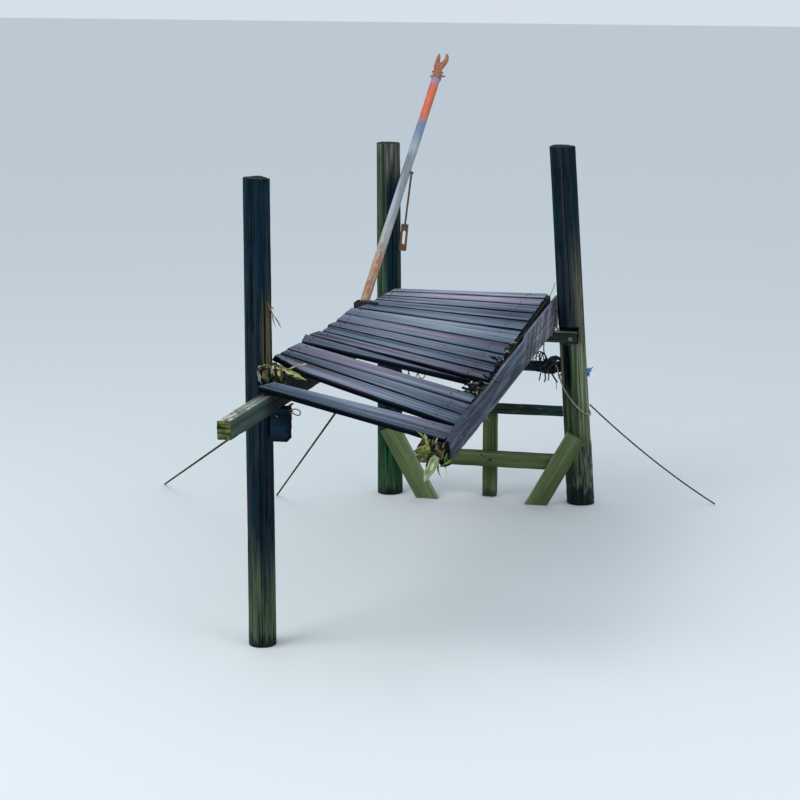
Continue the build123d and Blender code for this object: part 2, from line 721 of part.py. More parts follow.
# A turn of the same rope, slanting round the back right pile
turn_height = 1015
turn_slant = 52
turn_x, turn_y, turn_r = at_height(back_right_pile, turn_height)
pile_axis = Vector(*back_right_pile["lean"], back_right_pile["height"]).normalized()
turn_normal = Vector(sin(radians(turn_slant)), 0, cos(radians(turn_slant)))
turn_radius = turn_r + rope_radius + 2 * seat_gap
turn_rise = pile_axis - turn_normal * turn_normal.dot(pile_axis)
turn_centre = (turn_x, turn_y, turn_height)
turn_plane = Plane(origin=turn_centre, x_dir=turn_rise.cross(turn_normal), z_dir=turn_normal)
with BuildPart() as pile_rope_turn:
    with BuildLine(turn_plane) as turn_route:
        long_radius = turn_radius / turn_normal.dot(pile_axis)
        EllipticalCenterArc((0, 0), turn_radius, long_radius, arc_size=360)
    with BuildSketch(Plane(origin=turn_route.line @ 0, z_dir=turn_route.line % 0)):
        Circle(rope_radius)
    sweep()
save(pile_rope_turn.part, "pile_rope_turn")

# Rope lashed round the rope rail
lashing_left, lashing_length, lashing_thickness = 1425, 115, 16
lashing_middle = (rail_back - rail_thickness / 2, rope_rail_bottom + rope_rail_height / 2)
with BuildPart() as rope_lashing:
    with BuildSketch(Plane.YZ.offset(lashing_left)):
        with Locations(lashing_middle):
            RectangleRounded(rail_thickness + 2 * lashing_thickness,
                             rope_rail_height + 2 * lashing_thickness, lashing_thickness)
            Rectangle(rail_thickness + 2 * seat_gap, rope_rail_height + 2 * seat_gap, mode=Mode.SUBTRACT)
    extrude(amount=lashing_length)
save(rope_lashing.part, "rope_lashing")
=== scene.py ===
import json
import math
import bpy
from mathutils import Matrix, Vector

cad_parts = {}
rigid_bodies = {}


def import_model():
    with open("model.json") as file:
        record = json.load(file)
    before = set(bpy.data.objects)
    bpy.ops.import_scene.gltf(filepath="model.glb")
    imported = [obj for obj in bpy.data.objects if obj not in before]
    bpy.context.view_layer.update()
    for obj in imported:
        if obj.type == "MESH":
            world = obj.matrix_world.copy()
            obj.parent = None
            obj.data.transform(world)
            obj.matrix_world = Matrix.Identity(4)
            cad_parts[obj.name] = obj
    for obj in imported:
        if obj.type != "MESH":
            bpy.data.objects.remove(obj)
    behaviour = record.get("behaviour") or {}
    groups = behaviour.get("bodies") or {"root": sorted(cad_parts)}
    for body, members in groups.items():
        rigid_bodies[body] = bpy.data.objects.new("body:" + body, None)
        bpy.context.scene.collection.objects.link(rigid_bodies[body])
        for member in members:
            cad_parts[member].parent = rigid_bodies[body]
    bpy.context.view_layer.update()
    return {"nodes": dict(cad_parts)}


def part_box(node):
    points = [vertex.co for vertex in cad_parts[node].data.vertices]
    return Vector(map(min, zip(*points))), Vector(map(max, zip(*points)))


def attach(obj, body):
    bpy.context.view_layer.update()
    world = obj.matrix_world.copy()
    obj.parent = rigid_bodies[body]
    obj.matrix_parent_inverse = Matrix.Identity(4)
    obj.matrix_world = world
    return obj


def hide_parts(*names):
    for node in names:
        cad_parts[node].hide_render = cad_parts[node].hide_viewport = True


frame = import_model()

from types import SimpleNamespace

import bpy
import numpy as np
from mathutils import Vector
from mathutils.geometry import tessellate_polygon

scene_objects = bpy.context.scene.collection.objects


# Camera, at the photograph's viewing angle
camera_data = bpy.data.cameras.new("camera")
camera_data.sensor_width = 36.0
camera_data.lens = 100.35
camera_data.clip_end = 200.0
camera = bpy.data.objects.new("camera", camera_data)
camera.location = (4.292, -19.688, 5.40)
camera.rotation_euler = (math.radians(77.35), 0.0, math.radians(12.04))
scene_objects.link(camera)
bpy.context.scene.camera = camera


# Noise over arrays of points
def lattice(i, j, k, seed):
    h = (i * 374761393 + j * 668265263 + k * 1442695041 + seed * 97531) & 0xFFFFFFFF
    h = ((h ^ (h >> 13)) * 1274126177) & 0xFFFFFFFF
    return ((h ^ (h >> 16)) & 0xFFFF) / 32767.5 - 1.0


def noise(x, y, z=0.0, seed=0):
    """Smooth noise from -1 to 1."""
    x, y, z = np.broadcast_arrays(*(np.asarray(c, float) for c in (x, y, z)))
    i, j, k = (np.floor(c).astype(np.int64) for c in (x, y, z))
    fx, fy, fz = (c - n for c, n in ((x, i), (y, j), (z, k)))
    fx, fy, fz = (f * f * (3 - 2 * f) for f in (fx, fy, fz))
    total = 0.0
    for a in (0, 1):
        for b in (0, 1):
            for c in (0, 1):
                weight = (fx if a else 1 - fx) * (fy if b else 1 - fy) * (fz if c else 1 - fz)
                total = total + weight * lattice(i + a, j + b, k + c, seed)
    return total


def fbm(x, y, z, octaves, seed):
    """Noise with finer noise laid on it, from -1 to 1."""
    total, gain, size = 0.0, 1.0, 0.0
    for n in range(octaves):
        f = 2.0 ** n
        total = total + gain * noise(np.asarray(x) * f, np.asarray(y) * f, np.asarray(z) * f, seed + 7 * n)
        size += gain
        gain *= 0.5
    return total / size


def noise01(*at):
    return 0.5 + 0.5 * noise(*at)


def fbm01(*at):
    return 0.5 + 0.5 * fbm(*at)


def smooth(edge0, edge1, x):
    t = np.clip((x - edge0) / (edge1 - edge0), 0.0, 1.0)
    return t * t * (3 - 2 * t)


def window(x, start, end, rise, limit=1.0):
    """1 between start and end, fading over rise, but not at 0 or at limit."""
    low = 1.0 if start <= 0 else smooth(start, start + rise, x)
    high = 1.0 if end >= limit else 1 - smooth(end - rise, end, x)
    return low * high * np.ones_like(x)


def unit(vectors):
    vectors = np.asarray(vectors, float)
    return vectors / np.linalg.norm(vectors, axis=-1, keepdims=True)


def rgb(r, g, b):
    """A colour written as 0 to 255 on screen, as the shader needs it."""
    c = np.array((r, g, b), float) / 255.0
    return np.where(c <= 0.04045, c / 12.92, ((c + 0.055) / 1.055) ** 2.4)


def mix(a, b, t):
    t = np.asarray(t, float)[..., None]
    return a * (1 - t) + b * t


def over(tone, *layers):
    """Lays colours over tone one after another, each with its share."""
    for colour, share in layers:
        tone = mix(tone, colour, share)
    return tone


# Materials
def feed(node, inputs):
    """Links a node's inputs to sockets, or sets them to values."""
    for key, value in inputs.items():
        if isinstance(value, bpy.types.NodeSocket):
            node.id_data.links.new(value, node.inputs[key])
        else:
            node.inputs[key].default_value = value


def make(tree, kind, output, inputs, **settings):
    """One output of a new node."""
    node = tree.nodes.new("ShaderNode" + kind)
    for key, value in settings.items():
        setattr(node, key, value)
    feed(node, inputs)
    return node.outputs[output]


def arithmetic(tree, operation, a, b, clamp=False):
    return make(tree, "Math", 0, {0: a, 1: b}, operation=operation, use_clamp=clamp)


def mix_colour(tree, blend, factor, a, b):
    return make(tree, "Mix", 2, {0: factor, 6: a, 7: b}, data_type="RGBA", blend_type=blend)


def darken(tree, colour, factor, by):
    return mix_colour(tree, "MULTIPLY", factor, colour, (*by, 1.0))


def noise_node(tree, vector, scale, detail, roughness=0.6, distortion=0.0):
    """Noise on a vector stretched by scale, a triple."""
    stretched = make(tree, "VectorMath", 0, {0: vector, 1: scale}, operation="MULTIPLY")
    return make(tree, "TexNoise", "Fac", {"Vector": stretched, "Scale": 1.0, "Detail": detail,
                                          "Roughness": roughness, "Distortion": distortion})


def remap(tree, value, low, high, to_low=0.0, to_high=1.0):
    return make(tree, "MapRange", 0, {0: value, 1: low, 2: high, 3: to_low, 4: to_high}, clamp=True)


def scaled(tree, colour, gain):
    return make(tree, "VectorMath", 0, {0: colour, "Scale": gain}, operation="SCALE")


def bump(tree, height, strength, distance):
    return make(tree, "Bump", 0, {"Strength": strength, "Distance": distance, "Height": height})


def attributes(tree, *names):
    """The outputs of a mesh's own values."""
    kinds = {"grain": "Vector", "tone": "Color", "streak": "Color", "hollow": "Fac", "wet": "Fac"}
    return [make(tree, "Attribute", kinds[name], {}, attribute_name=name) for name in names]


def new_material(name):
    material = bpy.data.materials.new(name)
    material.use_nodes = True
    tree = material.node_tree
    return material, tree, tree.nodes["Principled BSDF"]


def wood_material(name, low, high, streak, roughness, strength, specular, stripes=(1.6, 42.0)):
    """Grain along the piece, with its colours, and the painted shade in its hollows, read from the mesh."""
    material, tree, shader = new_material(name)
    grain, tone, second, hollow, wet = attributes(tree, "grain", "tone", "streak", "hollow", "wet")
    broad = noise_node(tree, grain, (*stripes, 1.0), 5.0, 0.62, 0.25)
    fine = noise_node(tree, grain, (7.0, 330.0, 1.0), 3.0)
    flecks = noise_node(tree, grain, (22.0, 60.0, 1.0), 3.0, 0.55)
    other = noise_node(tree, grain, (1.1, 27.0, 2.0), 4.0, 0.6, 0.4)
    both = arithmetic(tree, "ADD", arithmetic(tree, "MULTIPLY", broad, 0.62),
                      arithmetic(tree, "MULTIPLY", fine, 0.38))
    colour = mix_colour(tree, "MIX", remap(tree, other, 0.5, 0.62, 0.0, streak),
                        scaled(tree, tone, remap(tree, both, 0.36, 0.64, low, high)), second)
    colour = darken(tree, colour, remap(tree, flecks, 0.62, 0.72, 0.0, 0.5), (0.45, 0.45, 0.45))
    # Painted shade: hollow darkens cracks, grooves, gaps and worn ends, and below it takes the sheen off them.
    colour = darken(tree, colour, arithmetic(tree, "MULTIPLY", hollow, 0.9), (0.1, 0.1, 0.1))
    rough = arithmetic(tree, "SUBTRACT", remap(tree, both, 0.3, 0.7, roughness[1], roughness[0]),
                       arithmetic(tree, "MULTIPLY", wet, 0.45), True)
    feed(shader, {"Base Color": colour, "Roughness": rough, "Normal": bump(tree, both, strength, 0.004),
                  "Specular IOR Level": remap(tree, hollow, 0.0, 0.6, specular, 0.01)})
    return material


def metal_material(name, base, rust, amount=0.5, metallic=0.35, scale=60.0, roughness=0.7):
    """Painted or rusty steel, its patches placed in the object's own space."""
    material, tree, shader = new_material(name)
    place = make(tree, "TexCoord", "Object", {})
    patches = noise_node(tree, place, (scale, scale, scale), 5.0)
    pits = noise_node(tree, place, (scale * 6, scale * 6, scale * 6), 3.0)
    share = remap(tree, patches, 0.5 - amount * 0.2, 0.62 - amount * 0.2)
    colour = mix_colour(tree, "MIX", share, (*base, 1.0), (*rust, 1.0))
    colour = darken(tree, colour, remap(tree, pits, 0.5, 0.68, 0.0, 0.7), (0.4, 0.36, 0.33))
    feed(shader, {"Base Color": colour, "Metallic": metallic, "Normal": bump(tree, pits, 0.5, 0.0015),
                  "Roughness": remap(tree, pits, 0.3, 0.7, roughness - 0.15, roughness + 0.15)})
    return material


def paint_material(name):
    """Peeling paint whose bands come from the mesh."""
    material, tree, shader = new_material(name)
    grain, tone, second = attributes(tree, "grain", "tone", "streak")
    worn = noise_node(tree, grain, (14.0, 40.0, 1.0), 6.0, 0.65, 0.3)
    broad = noise_node(tree, grain, (3.0, 12.0, 1.0), 4.0)
    specks = noise_node(tree, grain, (60.0, 90.0, 1.0), 3.0)
    colour = mix_colour(tree, "MIX", remap(tree, worn, 0.53, 0.6, 0.0, 0.8),
                        scaled(tree, tone, remap(tree, broad, 0.3, 0.7, 0.82, 1.16)), second)
    colour = darken(tree, colour, remap(tree, specks, 0.64, 0.72, 0.0, 0.6), (0.35, 0.28, 0.24))
    feed(shader, {"Base Color": colour, "Roughness": remap(tree, worn, 0.4, 0.7, 0.5, 0.8),
                  "Normal": bump(tree, worn, 0.45, 0.0012)})
    return material


woods = {
    "tar": (0.45, 1.75, 0.5, (0.7, 0.95), 0.8, 0.1),
    "deck": (0.68, 1.32, 0.35, (0.6, 0.88), 0.6, 0.25, (1.2, 22.0)),
    "stringer": (0.55, 1.5, 0.45, (0.65, 0.9), 0.8, 0.2, (1.3, 30.0)),
    "olive": (0.8, 1.2, 0.3, (0.7, 0.92), 0.5, 0.2, (1.2, 30.0)),
    "splinter": (0.6, 1.4, 0.4, (0.7, 0.95), 0.7, 0.15, (6.0, 160.0)),
    "dark": (0.5, 1.7, 0.5, (0.65, 0.9), 0.6, 0.15),
    "mossy": (0.5, 1.6, 0.6, (0.7, 0.95), 0.9, 0.2),
    "rope": (0.6, 1.5, 0.4, (0.75, 0.95), 0.8, 0.15),
}
metals = {
    "rusty": (rgb(126, 86, 56), rgb(84, 66, 48), 0.5, 0.2),
    "dark_steel": (rgb(52, 50, 54), rgb(88, 62, 48), 0.3),
    "black_steel": (rgb(14, 18, 22), rgb(44, 32, 30), 0.15, 0.2),
    "pale_steel": (rgb(156, 166, 158), rgb(96, 92, 80), 0.3, 0.3),
    "blue_scrap": (rgb(30, 96, 190), rgb(60, 130, 210), 0.4, 0.0, 90.0, 0.6),
    "red_steel": (rgb(150, 44, 48), rgb(92, 40, 40), 0.3, 0.1),
    "orange_steel": (rgb(184, 132, 92), rgb(150, 84, 62), 0.5, 0.05, 90.0),
}
materials = {name: wood_material(name, *values) for name, values in woods.items()}
materials["paint"] = paint_material("paint")
materials.update((name, metal_material(name, *values)) for name, values in metals.items())

slots = {"tar": "tarred_pile", "deck": "deck_wood", "stringer": "stringer_wood", "olive": "olive_wood",
         "splinter": "mossy_wood", "dark": "dark_wood", "mossy": "mossy_wood", "rope": "rope",
         "paint": "painted_pole", "blue_scrap": "rope"}


# Meshes
def make_mesh(name, points, quads, tris, fields, material, replaced=(), slot=None, rounded=True):
    """A piece from arrays. fields holds its vertex attributes."""
    mesh = bpy.data.meshes.new(name)
    mesh.from_pydata([tuple(p) for p in points], [], [tuple(q) for q in quads] + [tuple(t) for t in tris])
    mesh.update()
    for key, data in fields.items():
        kind, size = {"grain": ("FLOAT_VECTOR", "vector"), "tone": ("FLOAT_COLOR", "color"),
                      "streak": ("FLOAT_COLOR", "color")}.get(key, ("FLOAT", "value"))
        if kind == "FLOAT_COLOR":
            data = np.concatenate([np.clip(data, 0, 1), np.ones((len(data), 1))], 1)
        mesh.attributes.new(key, kind, "POINT").data.foreach_set(size, np.ravel(data))
    mesh.polygons.foreach_set("use_smooth", [rounded] * len(mesh.polygons))
    mesh.materials.append(materials[material])
    piece = bpy.data.objects.new(name, mesh)
    scene_objects.link(piece)
    if replaced:
        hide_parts(*replaced)
    slot or slots.get(material, "rusty_steel")
    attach(piece, "root")
    return piece


def surface(points, **facts):
    """What a paint reads: each point's place and the facts given, with hollow and wet for it to raise."""
    facts.setdefault("hollow", np.zeros(len(points)))
    return SimpleNamespace(P=points, wet=np.zeros(len(points)), **facts)


def painted(f, grain, paint):
    """A mesh's fields, its colours from paint."""
    tone, streak = paint(f)
    return dict(grain=grain, tone=tone, streak=np.broadcast_to(streak, tone.shape),
                hollow=np.clip(f.hollow, 0, 1), wet=f.wet)


def grid_quads(rows, sides):
    """Quads between rows of points, where each row is a closed ring."""
    k, j = np.meshgrid(np.arange(rows - 1) * sides, np.arange(sides), indexing="ij")
    after = (j + 1) % sides
    return np.stack([k + j, k + after, k + sides + after, k + sides + j], -1).reshape(-1, 4)


def end_fans(rows, sides):
    """Triangles from the first and the last of such rows to two points that come after them all."""
    j = np.arange(sides)
    after, last = (j + 1) % sides, (rows - 1) * sides
    return np.concatenate([np.stack([after, j, np.full(sides, rows * sides)], 1),
                           np.stack([last + j, last + after, np.full(sides, rows * sides + 1)], 1)])


def gather(parts):
    """Joins parts, each of points, quads and triangles."""
    starts = np.cumsum([0] + [len(points) for points, _, _ in parts])
    return (np.concatenate([points for points, _, _ in parts]),
            np.concatenate([quads + start for (_, quads, _), start in zip(parts, starts)]),
            np.concatenate([tris + start for (_, _, tris), start in zip(parts, starts)]))


def along_path(path):
    """The length of a path up to each of its points."""
    return np.concatenate([[0], np.cumsum(np.linalg.norm(np.diff(path, axis=0), axis=1))])


def directions(path, hint):
    """Tangents along a path, and two directions square to them that don't twist."""
    tangents = unit(np.gradient(path, axis=0))
    normal, normals = np.cross(tangents[0], hint), []
    for tangent in tangents:
        normal = unit(normal - tangent * normal.dot(tangent))
        normals.append(normal)
    return tangents, np.array(normals), np.cross(tangents, normals)


def node_points(name):
    return np.unique(np.array([v.co[:] for v in frame["nodes"][name].data.vertices]).round(5), axis=0)


def corners(name, along, across, up):
    """A timber's eight corners from its node, as [along][across][up]."""
    def halves(group, axis):
        order = np.argsort(group[:, axis], kind="stable")
        return group[order[:len(group) // 2]], group[order[len(group) // 2:]]

    return np.array([[[point[0] for point in halves(by_across, up)] for by_across in halves(by_along, across)]
                     for by_along in halves(node_points(name), along)])


def place_in(box):
    """The map from shares along, across and up to points."""
    def place(u, v, w):
        u, v, w = (c[..., None] for c in (u, v, w))
        low, high = ((box[0, 0, k] * (1 - u) + box[1, 0, k] * u) * (1 - v)
                     + (box[0, 1, k] * (1 - u) + box[1, 1, k] * u) * v for k in (0, 1))
        return low * (1 - w) + high * w
    return place


def box_size(box):
    """Mean length, width and thickness of a timber's corners."""
    spans = (box[1] - box[0], box[:, 1] - box[:, 0], box[:, :, 1] - box[:, :, 0])
    return [np.linalg.norm(span.mean((0, 1))) for span in spans]


def lines(width, cell, edge, cracks):
    """Shares across a face where mesh lines run, with three lines at each crack."""
    count = max(2, int(round(width / cell)))
    rim = [edge * k / width for k in (0.0, 0.35, 1.0)]
    fixed = rim + [1 - r for r in rim]
    for _, at, _, _, _, half in cracks:
        fixed += [at - half / width, at, at + half / width]
    fixed = sorted(f for f in fixed if 0 <= f <= 1)
    gap = 0.45 * cell / width
    plain = (n / count for n in range(1, count))
    return np.array(sorted(fixed + [p for p in plain if min(abs(p - f) for f in fixed) > gap]))


BOTTOM, RIGHT, TOP, LEFT, ENDS = range(5)
end_inset, ragged_reach, crack_rise, wander = 0.004, 0.12, 0.06, 0.004


def timber(node, place, size, material, paint, cracks=(), cell=0.010, step=0.035, edge=0.006, grain=0.0014,
           warp=0.003, ragged=(0.008, 0.008), rot=(0.0, 0.0), seed=1, slot=None):
    """A weathered timber in place of a node: a swept section with worn edges, cracks and ragged ends.

    place maps shares along, across and up to points; size is length, width and thickness. A crack is its
    face, its share across, its start and end as shares along, its depth and its half width."""
    length, width, depth = size
    vs = lines(width, cell, edge, [c for c in cracks if c[0] in (TOP, BOTTOM)])
    ws = lines(depth, cell, edge, [c for c in cracks if c[0] in (RIGHT, LEFT)])
    nv, nw = len(vs) - 1, len(ws) - 1
    ring_v = np.concatenate([vs[:-1], np.ones(nw), vs[:0:-1], np.zeros(nw)])
    ring_w = np.concatenate([np.zeros(nv), ws[:-1], np.ones(nv), ws[:0:-1]])
    ring_face = np.repeat([BOTTOM, RIGHT, TOP, LEFT], [nv, nw, nv, nw])
    us = np.linspace(0, 1, max(8, int(round(length / step))) + 1)
    near_ends = np.array((0.25, 0.55)) * us[1]
    us = np.unique(np.concatenate([us, near_ends, 1 - near_ends]))
    nu, nr = len(us), len(ring_face)

    def end_depth(v, w, side):
        """How far an end has worn back."""
        y, z = v * width, w * depth
        fibres = fbm01(y / 0.014, z / 0.014, side * 9.0, 2, seed)
        broad = noise01(y / 0.07, z / 0.07, side * 5.0, seed + 3)
        inner = np.clip(4 * v * (1 - v), 0, 1) * np.clip(4 * w * (1 - w), 0, 1)
        return ragged[side] * (0.55 * fibres + 0.45 * broad) + rot[side] * inner * (0.6 + 0.4 * fibres)

    def section(u, v, w, face):
        """Moves points in from worn edges and cracks, and says how hollow they lie."""
        worn = edge * (1 + np.clip(1.6 * noise(u * length / 0.11, v * 2 + w * 5, 0, seed + 5), 0, 2.2))
        worn = np.minimum(worn, 0.48 * min(width, depth))
        a, b = (v - 0.5) * width, (w - 0.5) * depth
        ca, cb = np.sign(a) * (width / 2 - worn), np.sign(b) * (depth / 2 - worn)
        at_corner = (np.abs(a) > width / 2 - worn) & (np.abs(b) > depth / 2 - worn)
        upright = np.isin(face, (RIGHT, LEFT))
        reach = np.maximum(np.hypot(a - ca, b - cb), 1e-9)
        na = np.where(at_corner, (a - ca) / reach, np.where(upright, np.sign(a), 0.0))
        nb = np.where(at_corner, (b - cb) / reach, np.where(upright, 0.0, np.sign(b)))
        a = np.where(at_corner, ca + na * worn, a)
        b = np.where(at_corner, cb + nb * worn, b)
        x, s = u * length, v * width + (w + 2.0 * face) * depth
        d = grain * fbm01(x / 0.35, s / 0.012, 0, 3, seed + 11)
        d = d + warp * noise01(x / 0.45, face * 3.7 + v + w, 0, seed + 13)
        hollow = np.zeros_like(d)
        for n, (crack_face, at, start, end, crack_depth, half) in enumerate(cracks):
            share, span = (v, width) if crack_face in (TOP, BOTTOM) else (w, depth)
            off = np.abs(share - at) * span / half
            opened = window(u, start, end, crack_rise)
            opened = opened * (0.72 + 0.28 * noise(x / 0.12, n * 3.3, 0, seed + 17))
            hit = np.where(face == crack_face, np.clip(1 - off * 1.02, 0, 1), 0.0) * opened
            d = d + crack_depth * hit
            hollow = np.maximum(hollow, hit)
        drift_a = wander * noise(x / 0.5, 2.2, 0, seed + 19) * np.clip(5 * v * (1 - v) - 0.4, 0, 1)
        drift_b = wander * noise(x / 0.5, 7.2, 0, seed + 23) * np.clip(5 * w * (1 - w) - 0.4, 0, 1)
        a = a - na * d + np.where(upright, 0, drift_a)
        b = b - nb * d + np.where(upright, drift_b, 0)
        return a / width + 0.5, b / depth + 0.5, hollow, s

    u, v = np.meshgrid(us, ring_v, indexing="ij")
    w, face = np.broadcast_to(ring_w, (nu, nr)), np.broadcast_to(ring_face, (nu, nr))
    u_real = (u + end_depth(v, w, 0) / length * np.clip(1 - u / ragged_reach, 0, 1)
              - end_depth(v, w, 1) / length * np.clip(1 - (1 - u) / ragged_reach, 0, 1))
    v_real, w_real, hollow, s = section(u, v, w, face)
    points = [place(u_real, v_real, w_real).reshape(-1, 3)]
    info = [np.stack([c.ravel() for c in (u_real * length, s, v_real, w_real, face, hollow)], 1)]
    quads = [grid_quads(nu, nr)[:, ::-1]]
    total, inner = nu * nr, (nv - 1) * (nw - 1)
    vi, wi = np.meshgrid(np.clip(vs[1:-1], end_inset / width, 1 - end_inset / width),
                         np.clip(ws[1:-1], end_inset / depth, 1 - end_inset / depth), indexing="ij")
    for side in (0, 1):
        back = end_depth(vi, wi, side)
        points.append(place(side + (1 - 2 * side) * back / length, vi, wi).reshape(-1, 3))
        deep = back / max(ragged[side] + rot[side], 1e-6)
        info.append(np.stack([np.full(inner, side * length), (vi * width).ravel() * 3, vi.ravel(), wi.ravel(),
                              np.full(inner, ENDS + side), deep.ravel() * 0.7], 1))
        index = np.zeros((nv + 1, nw + 1), int)
        index[:nv, 0] = np.arange(nv)
        index[nv, :nw] = nv + np.arange(nw)
        index[:0:-1, nw] = nv + nw + np.arange(nv)
        index[0, :0:-1] = 2 * nv + nw + np.arange(nw)
        index += side * (nu - 1) * nr
        index[1:-1, 1:-1] = total + np.arange(inner).reshape(nv - 1, nw - 1)
        cap = np.stack([index[:-1, :-1], index[1:, :-1], index[1:, 1:], index[:-1, 1:]], -1).reshape(-1, 4)
        quads.append(cap if side else cap[:, ::-1])
        total += inner
    x, s, v, w, face, hollow = np.concatenate(info).T.copy()
    f = surface(np.concatenate(points), x=x, s=s, v=v, w=w, face=face, hollow=hollow, length=length,
                width=width, seed=seed)
    grain_field = np.stack([x + seed * 3.7, s + seed * 1.9, np.full(total, seed * 0.61)], 1)
    end = f.P[face >= ENDS]
    grain_field[face >= ENDS] = np.stack([end[:, 0] * 20, end[:, 1] + end[:, 2], end[:, 2]], 1)
    return make_mesh(node + ".wood", f.P, np.concatenate(quads), (), painted(f, grain_field, paint), material,
                     [node], slot)


def timber_from(node, axes, material, paint, **options):
    """A timber in place of a node with eight corners; axes are its directions along, across and up."""
    box = corners(node, *axes)
    return timber(node, place_in(box), box_size(box), material, paint, **options)


forward, crossways, upwards = (1, 0, 2), (0, 1, 2), (2, 0, 1)


def plain_paint(dark, light, accent):
    """Colours between dark and light along the grain, with streaks of accent."""
    def paint(f):
        t = fbm01(f.x / 0.5, f.s / 0.03, 0, 3, f.seed + 31)
        return mix(dark, light, smooth(0.15, 0.85, t)), accent
    return paint


# Piles
def ring_of(points, z):
    """Centre and radius of a pile where it is cut at z."""
    near = points[np.abs(points[:, 2] - z) < 1e-3]
    lo, hi = near.min(0), near.max(0)
    return (lo + hi)[:2] / 2, ((hi - lo)[0] + (hi - lo)[1]) / 4


notch_low, notch_back = 1.5095, -0.0494
pile_sides, pile_step, pile_bulge, worn_top = 104, 0.024, 0.006, 0.30
cut_rings = (0.93, 0.82, 0.68, 0.52, 0.36, 0.2)
FOOT, HEAD = 1, 2


def trunk(node, paint, checks, ragged, top_seed, tilt, seed, shape=None, notch=None):
    """A round pile with long drying cracks and a ragged top that tilts away.

    checks are (angle, low z, high z, depth, half width); notch is its low x, high x and top."""
    points = node_points(node)
    top_z = points[:, 2].max()
    foot, foot_r = ring_of(points, 0.0)
    top, top_r = ring_of(points, top_z)
    angles = list(np.linspace(0, 360, pile_sides, endpoint=False))
    for angle, low, high, depth, half in checks:
        wide = math.degrees(half / foot_r)
        angles = [a for a in angles if abs((a - angle + 180) % 360 - 180) > 0.55 * 360 / pile_sides + wide]
        angles += [(angle + k * wide) % 360 for k in (-1, -0.3, 0.3, 1)]
    angles = np.radians(np.array(sorted(angles)))
    zs = np.linspace(0, 1, int(round(top_z / pile_step)) + 1)
    zs = np.unique(np.concatenate([zs, 1 - zs[1:2] * 0.3, 1 - zs[1:2] * 0.65]))
    if notch:
        edges = np.array([notch_low - 0.001, notch_low, notch[2], notch[2] + 0.001]) / top_z
        zs = np.array(sorted([z for z in zs if np.abs(z - edges).min() > 0.004 / top_z] + list(edges)))
    nz, nr = len(zs), len(angles)
    share, theta = np.meshgrid(zs, angles, indexing="ij")
    z, cx, cy = share * top_z, np.cos(theta), np.sin(theta)
    d = 0.0016 * fbm01(cx / 0.10, cy / 0.10, z / 0.5, 3, seed)
    d = d + 0.005 * noise01(cx * 1.4, cy * 1.4, z / 0.9, seed + 2)
    veins = np.clip(1 - np.abs(noise(cx * 6.5, cy * 6.5, z / 0.55 + 4, seed + 4)) / 0.16, 0, 1)
    d, hollow = d + 0.0045 * veins, 0.5 * veins ** 2
    for n, (angle, low, high, depth, half) in enumerate(checks):
        off = (np.degrees(theta) - angle + 180) % 360 - 180
        near = np.clip(1 - np.abs(off) / math.degrees(half / foot_r), 0, 1)
        opened = window(z, low, high, min(0.25, 0.3 * (high - low)), top_z)
        cut = np.minimum(near * 1.6, 1.0) * (opened * (0.75 + 0.25 * noise(z / 0.2, n * 4.1, 0, seed + 8)))
        d, hollow = d + depth * cut, np.maximum(hollow, cut)
    if shape:
        d = d + shape(theta, z)
    theta = theta + 0.03 * noise(z / 0.7, 3.3, 0, seed + 6)
    r = foot_r + (top_r + pile_bulge - foot_r) * share - d
    px = foot[0] + (top[0] - foot[0]) * share + r * np.cos(theta)
    py = foot[1] + (top[1] - foot[1]) * share + r * np.sin(theta)
    if notch:
        inside = ((z > notch_low - 0.0004) & (z < notch[2] + 0.0004) & (px > notch[0]) & (px < notch[1])
                  & (py < notch_back))
        py, hollow = np.where(inside, notch_back, py), np.where(inside, 0.4, hollow)

    def lowered(x, y):
        """How far the ragged top has worn down."""
        fibres, broad = fbm01(x * 7, y * 7, 0, 3, top_seed), noise01(x * 1.6, y * 1.6, 0, top_seed + 1)
        return ragged * (0.5 * fibres + 0.5 * broad) + np.clip(tilt * x, 0, None)

    rim_x, rim_y = np.cos(angles), np.sin(angles)
    pz = z - lowered(rim_x, rim_y) * np.clip(1 - (1 - share) * top_z / worn_top, 0, 1)
    points, quads, tris = [np.stack([px, py, pz], -1).reshape(-1, 3)], [grid_quads(nz, nr)], []
    cut, hollows = [np.zeros(nz * nr)], [hollow.ravel()]
    total = nz * nr
    for end, station, centre in ((HEAD, nz - 1, top), (FOOT, 0, foot)):
        base = station * nr + np.arange(nr)
        way = np.stack([np.cos(theta[station]), np.sin(theta[station])], 1)
        for f in cut_rings:
            height = top_z - lowered(f * rim_x, f * rim_y) if end == HEAD else np.zeros(nr)
            points.append(np.column_stack([centre + (f * r[station])[:, None] * way, height]))
            new = total + np.arange(nr)
            ring = np.stack([base, np.roll(base, -1), np.roll(new, -1), new], 1)
            quads.append(ring if end == HEAD else ring[:, ::-1])
            base, total = new, total + nr
        points.append([[*centre, top_z - lowered(np.zeros(1), np.zeros(1))[0] if end == HEAD else 0.0]])
        fan = np.stack([base, np.roll(base, -1), np.full(nr, total)], 1)
        tris.append(fan if end == HEAD else fan[:, ::-1])
        total += 1
        cut.append(np.full(len(cut_rings) * nr + 1, end))
        hollows.append(np.append(np.full(len(cut_rings) * nr, 0.25), 0.6))
    points, cut = np.concatenate(points), np.concatenate(cut)
    off = points[:, :2] - foot - (top - foot) * points[:, 2:] / top_z
    f = surface(points, z=points[:, 2], theta=np.arctan2(off[:, 1], off[:, 0]), cut=cut, seed=seed,
                hollow=np.concatenate(hollows))
    grain = np.stack([f.z + seed * 3.1, f.theta * foot_r + seed, np.full(total, seed * 0.37)], 1)
    grain[cut > 0] = points[cut > 0][:, [0, 1, 0]] * (15, 2, 1)
    return make_mesh(node + ".wood", points, np.concatenate(quads), np.concatenate(tris),
                     painted(f, grain, paint), "tar", [node])


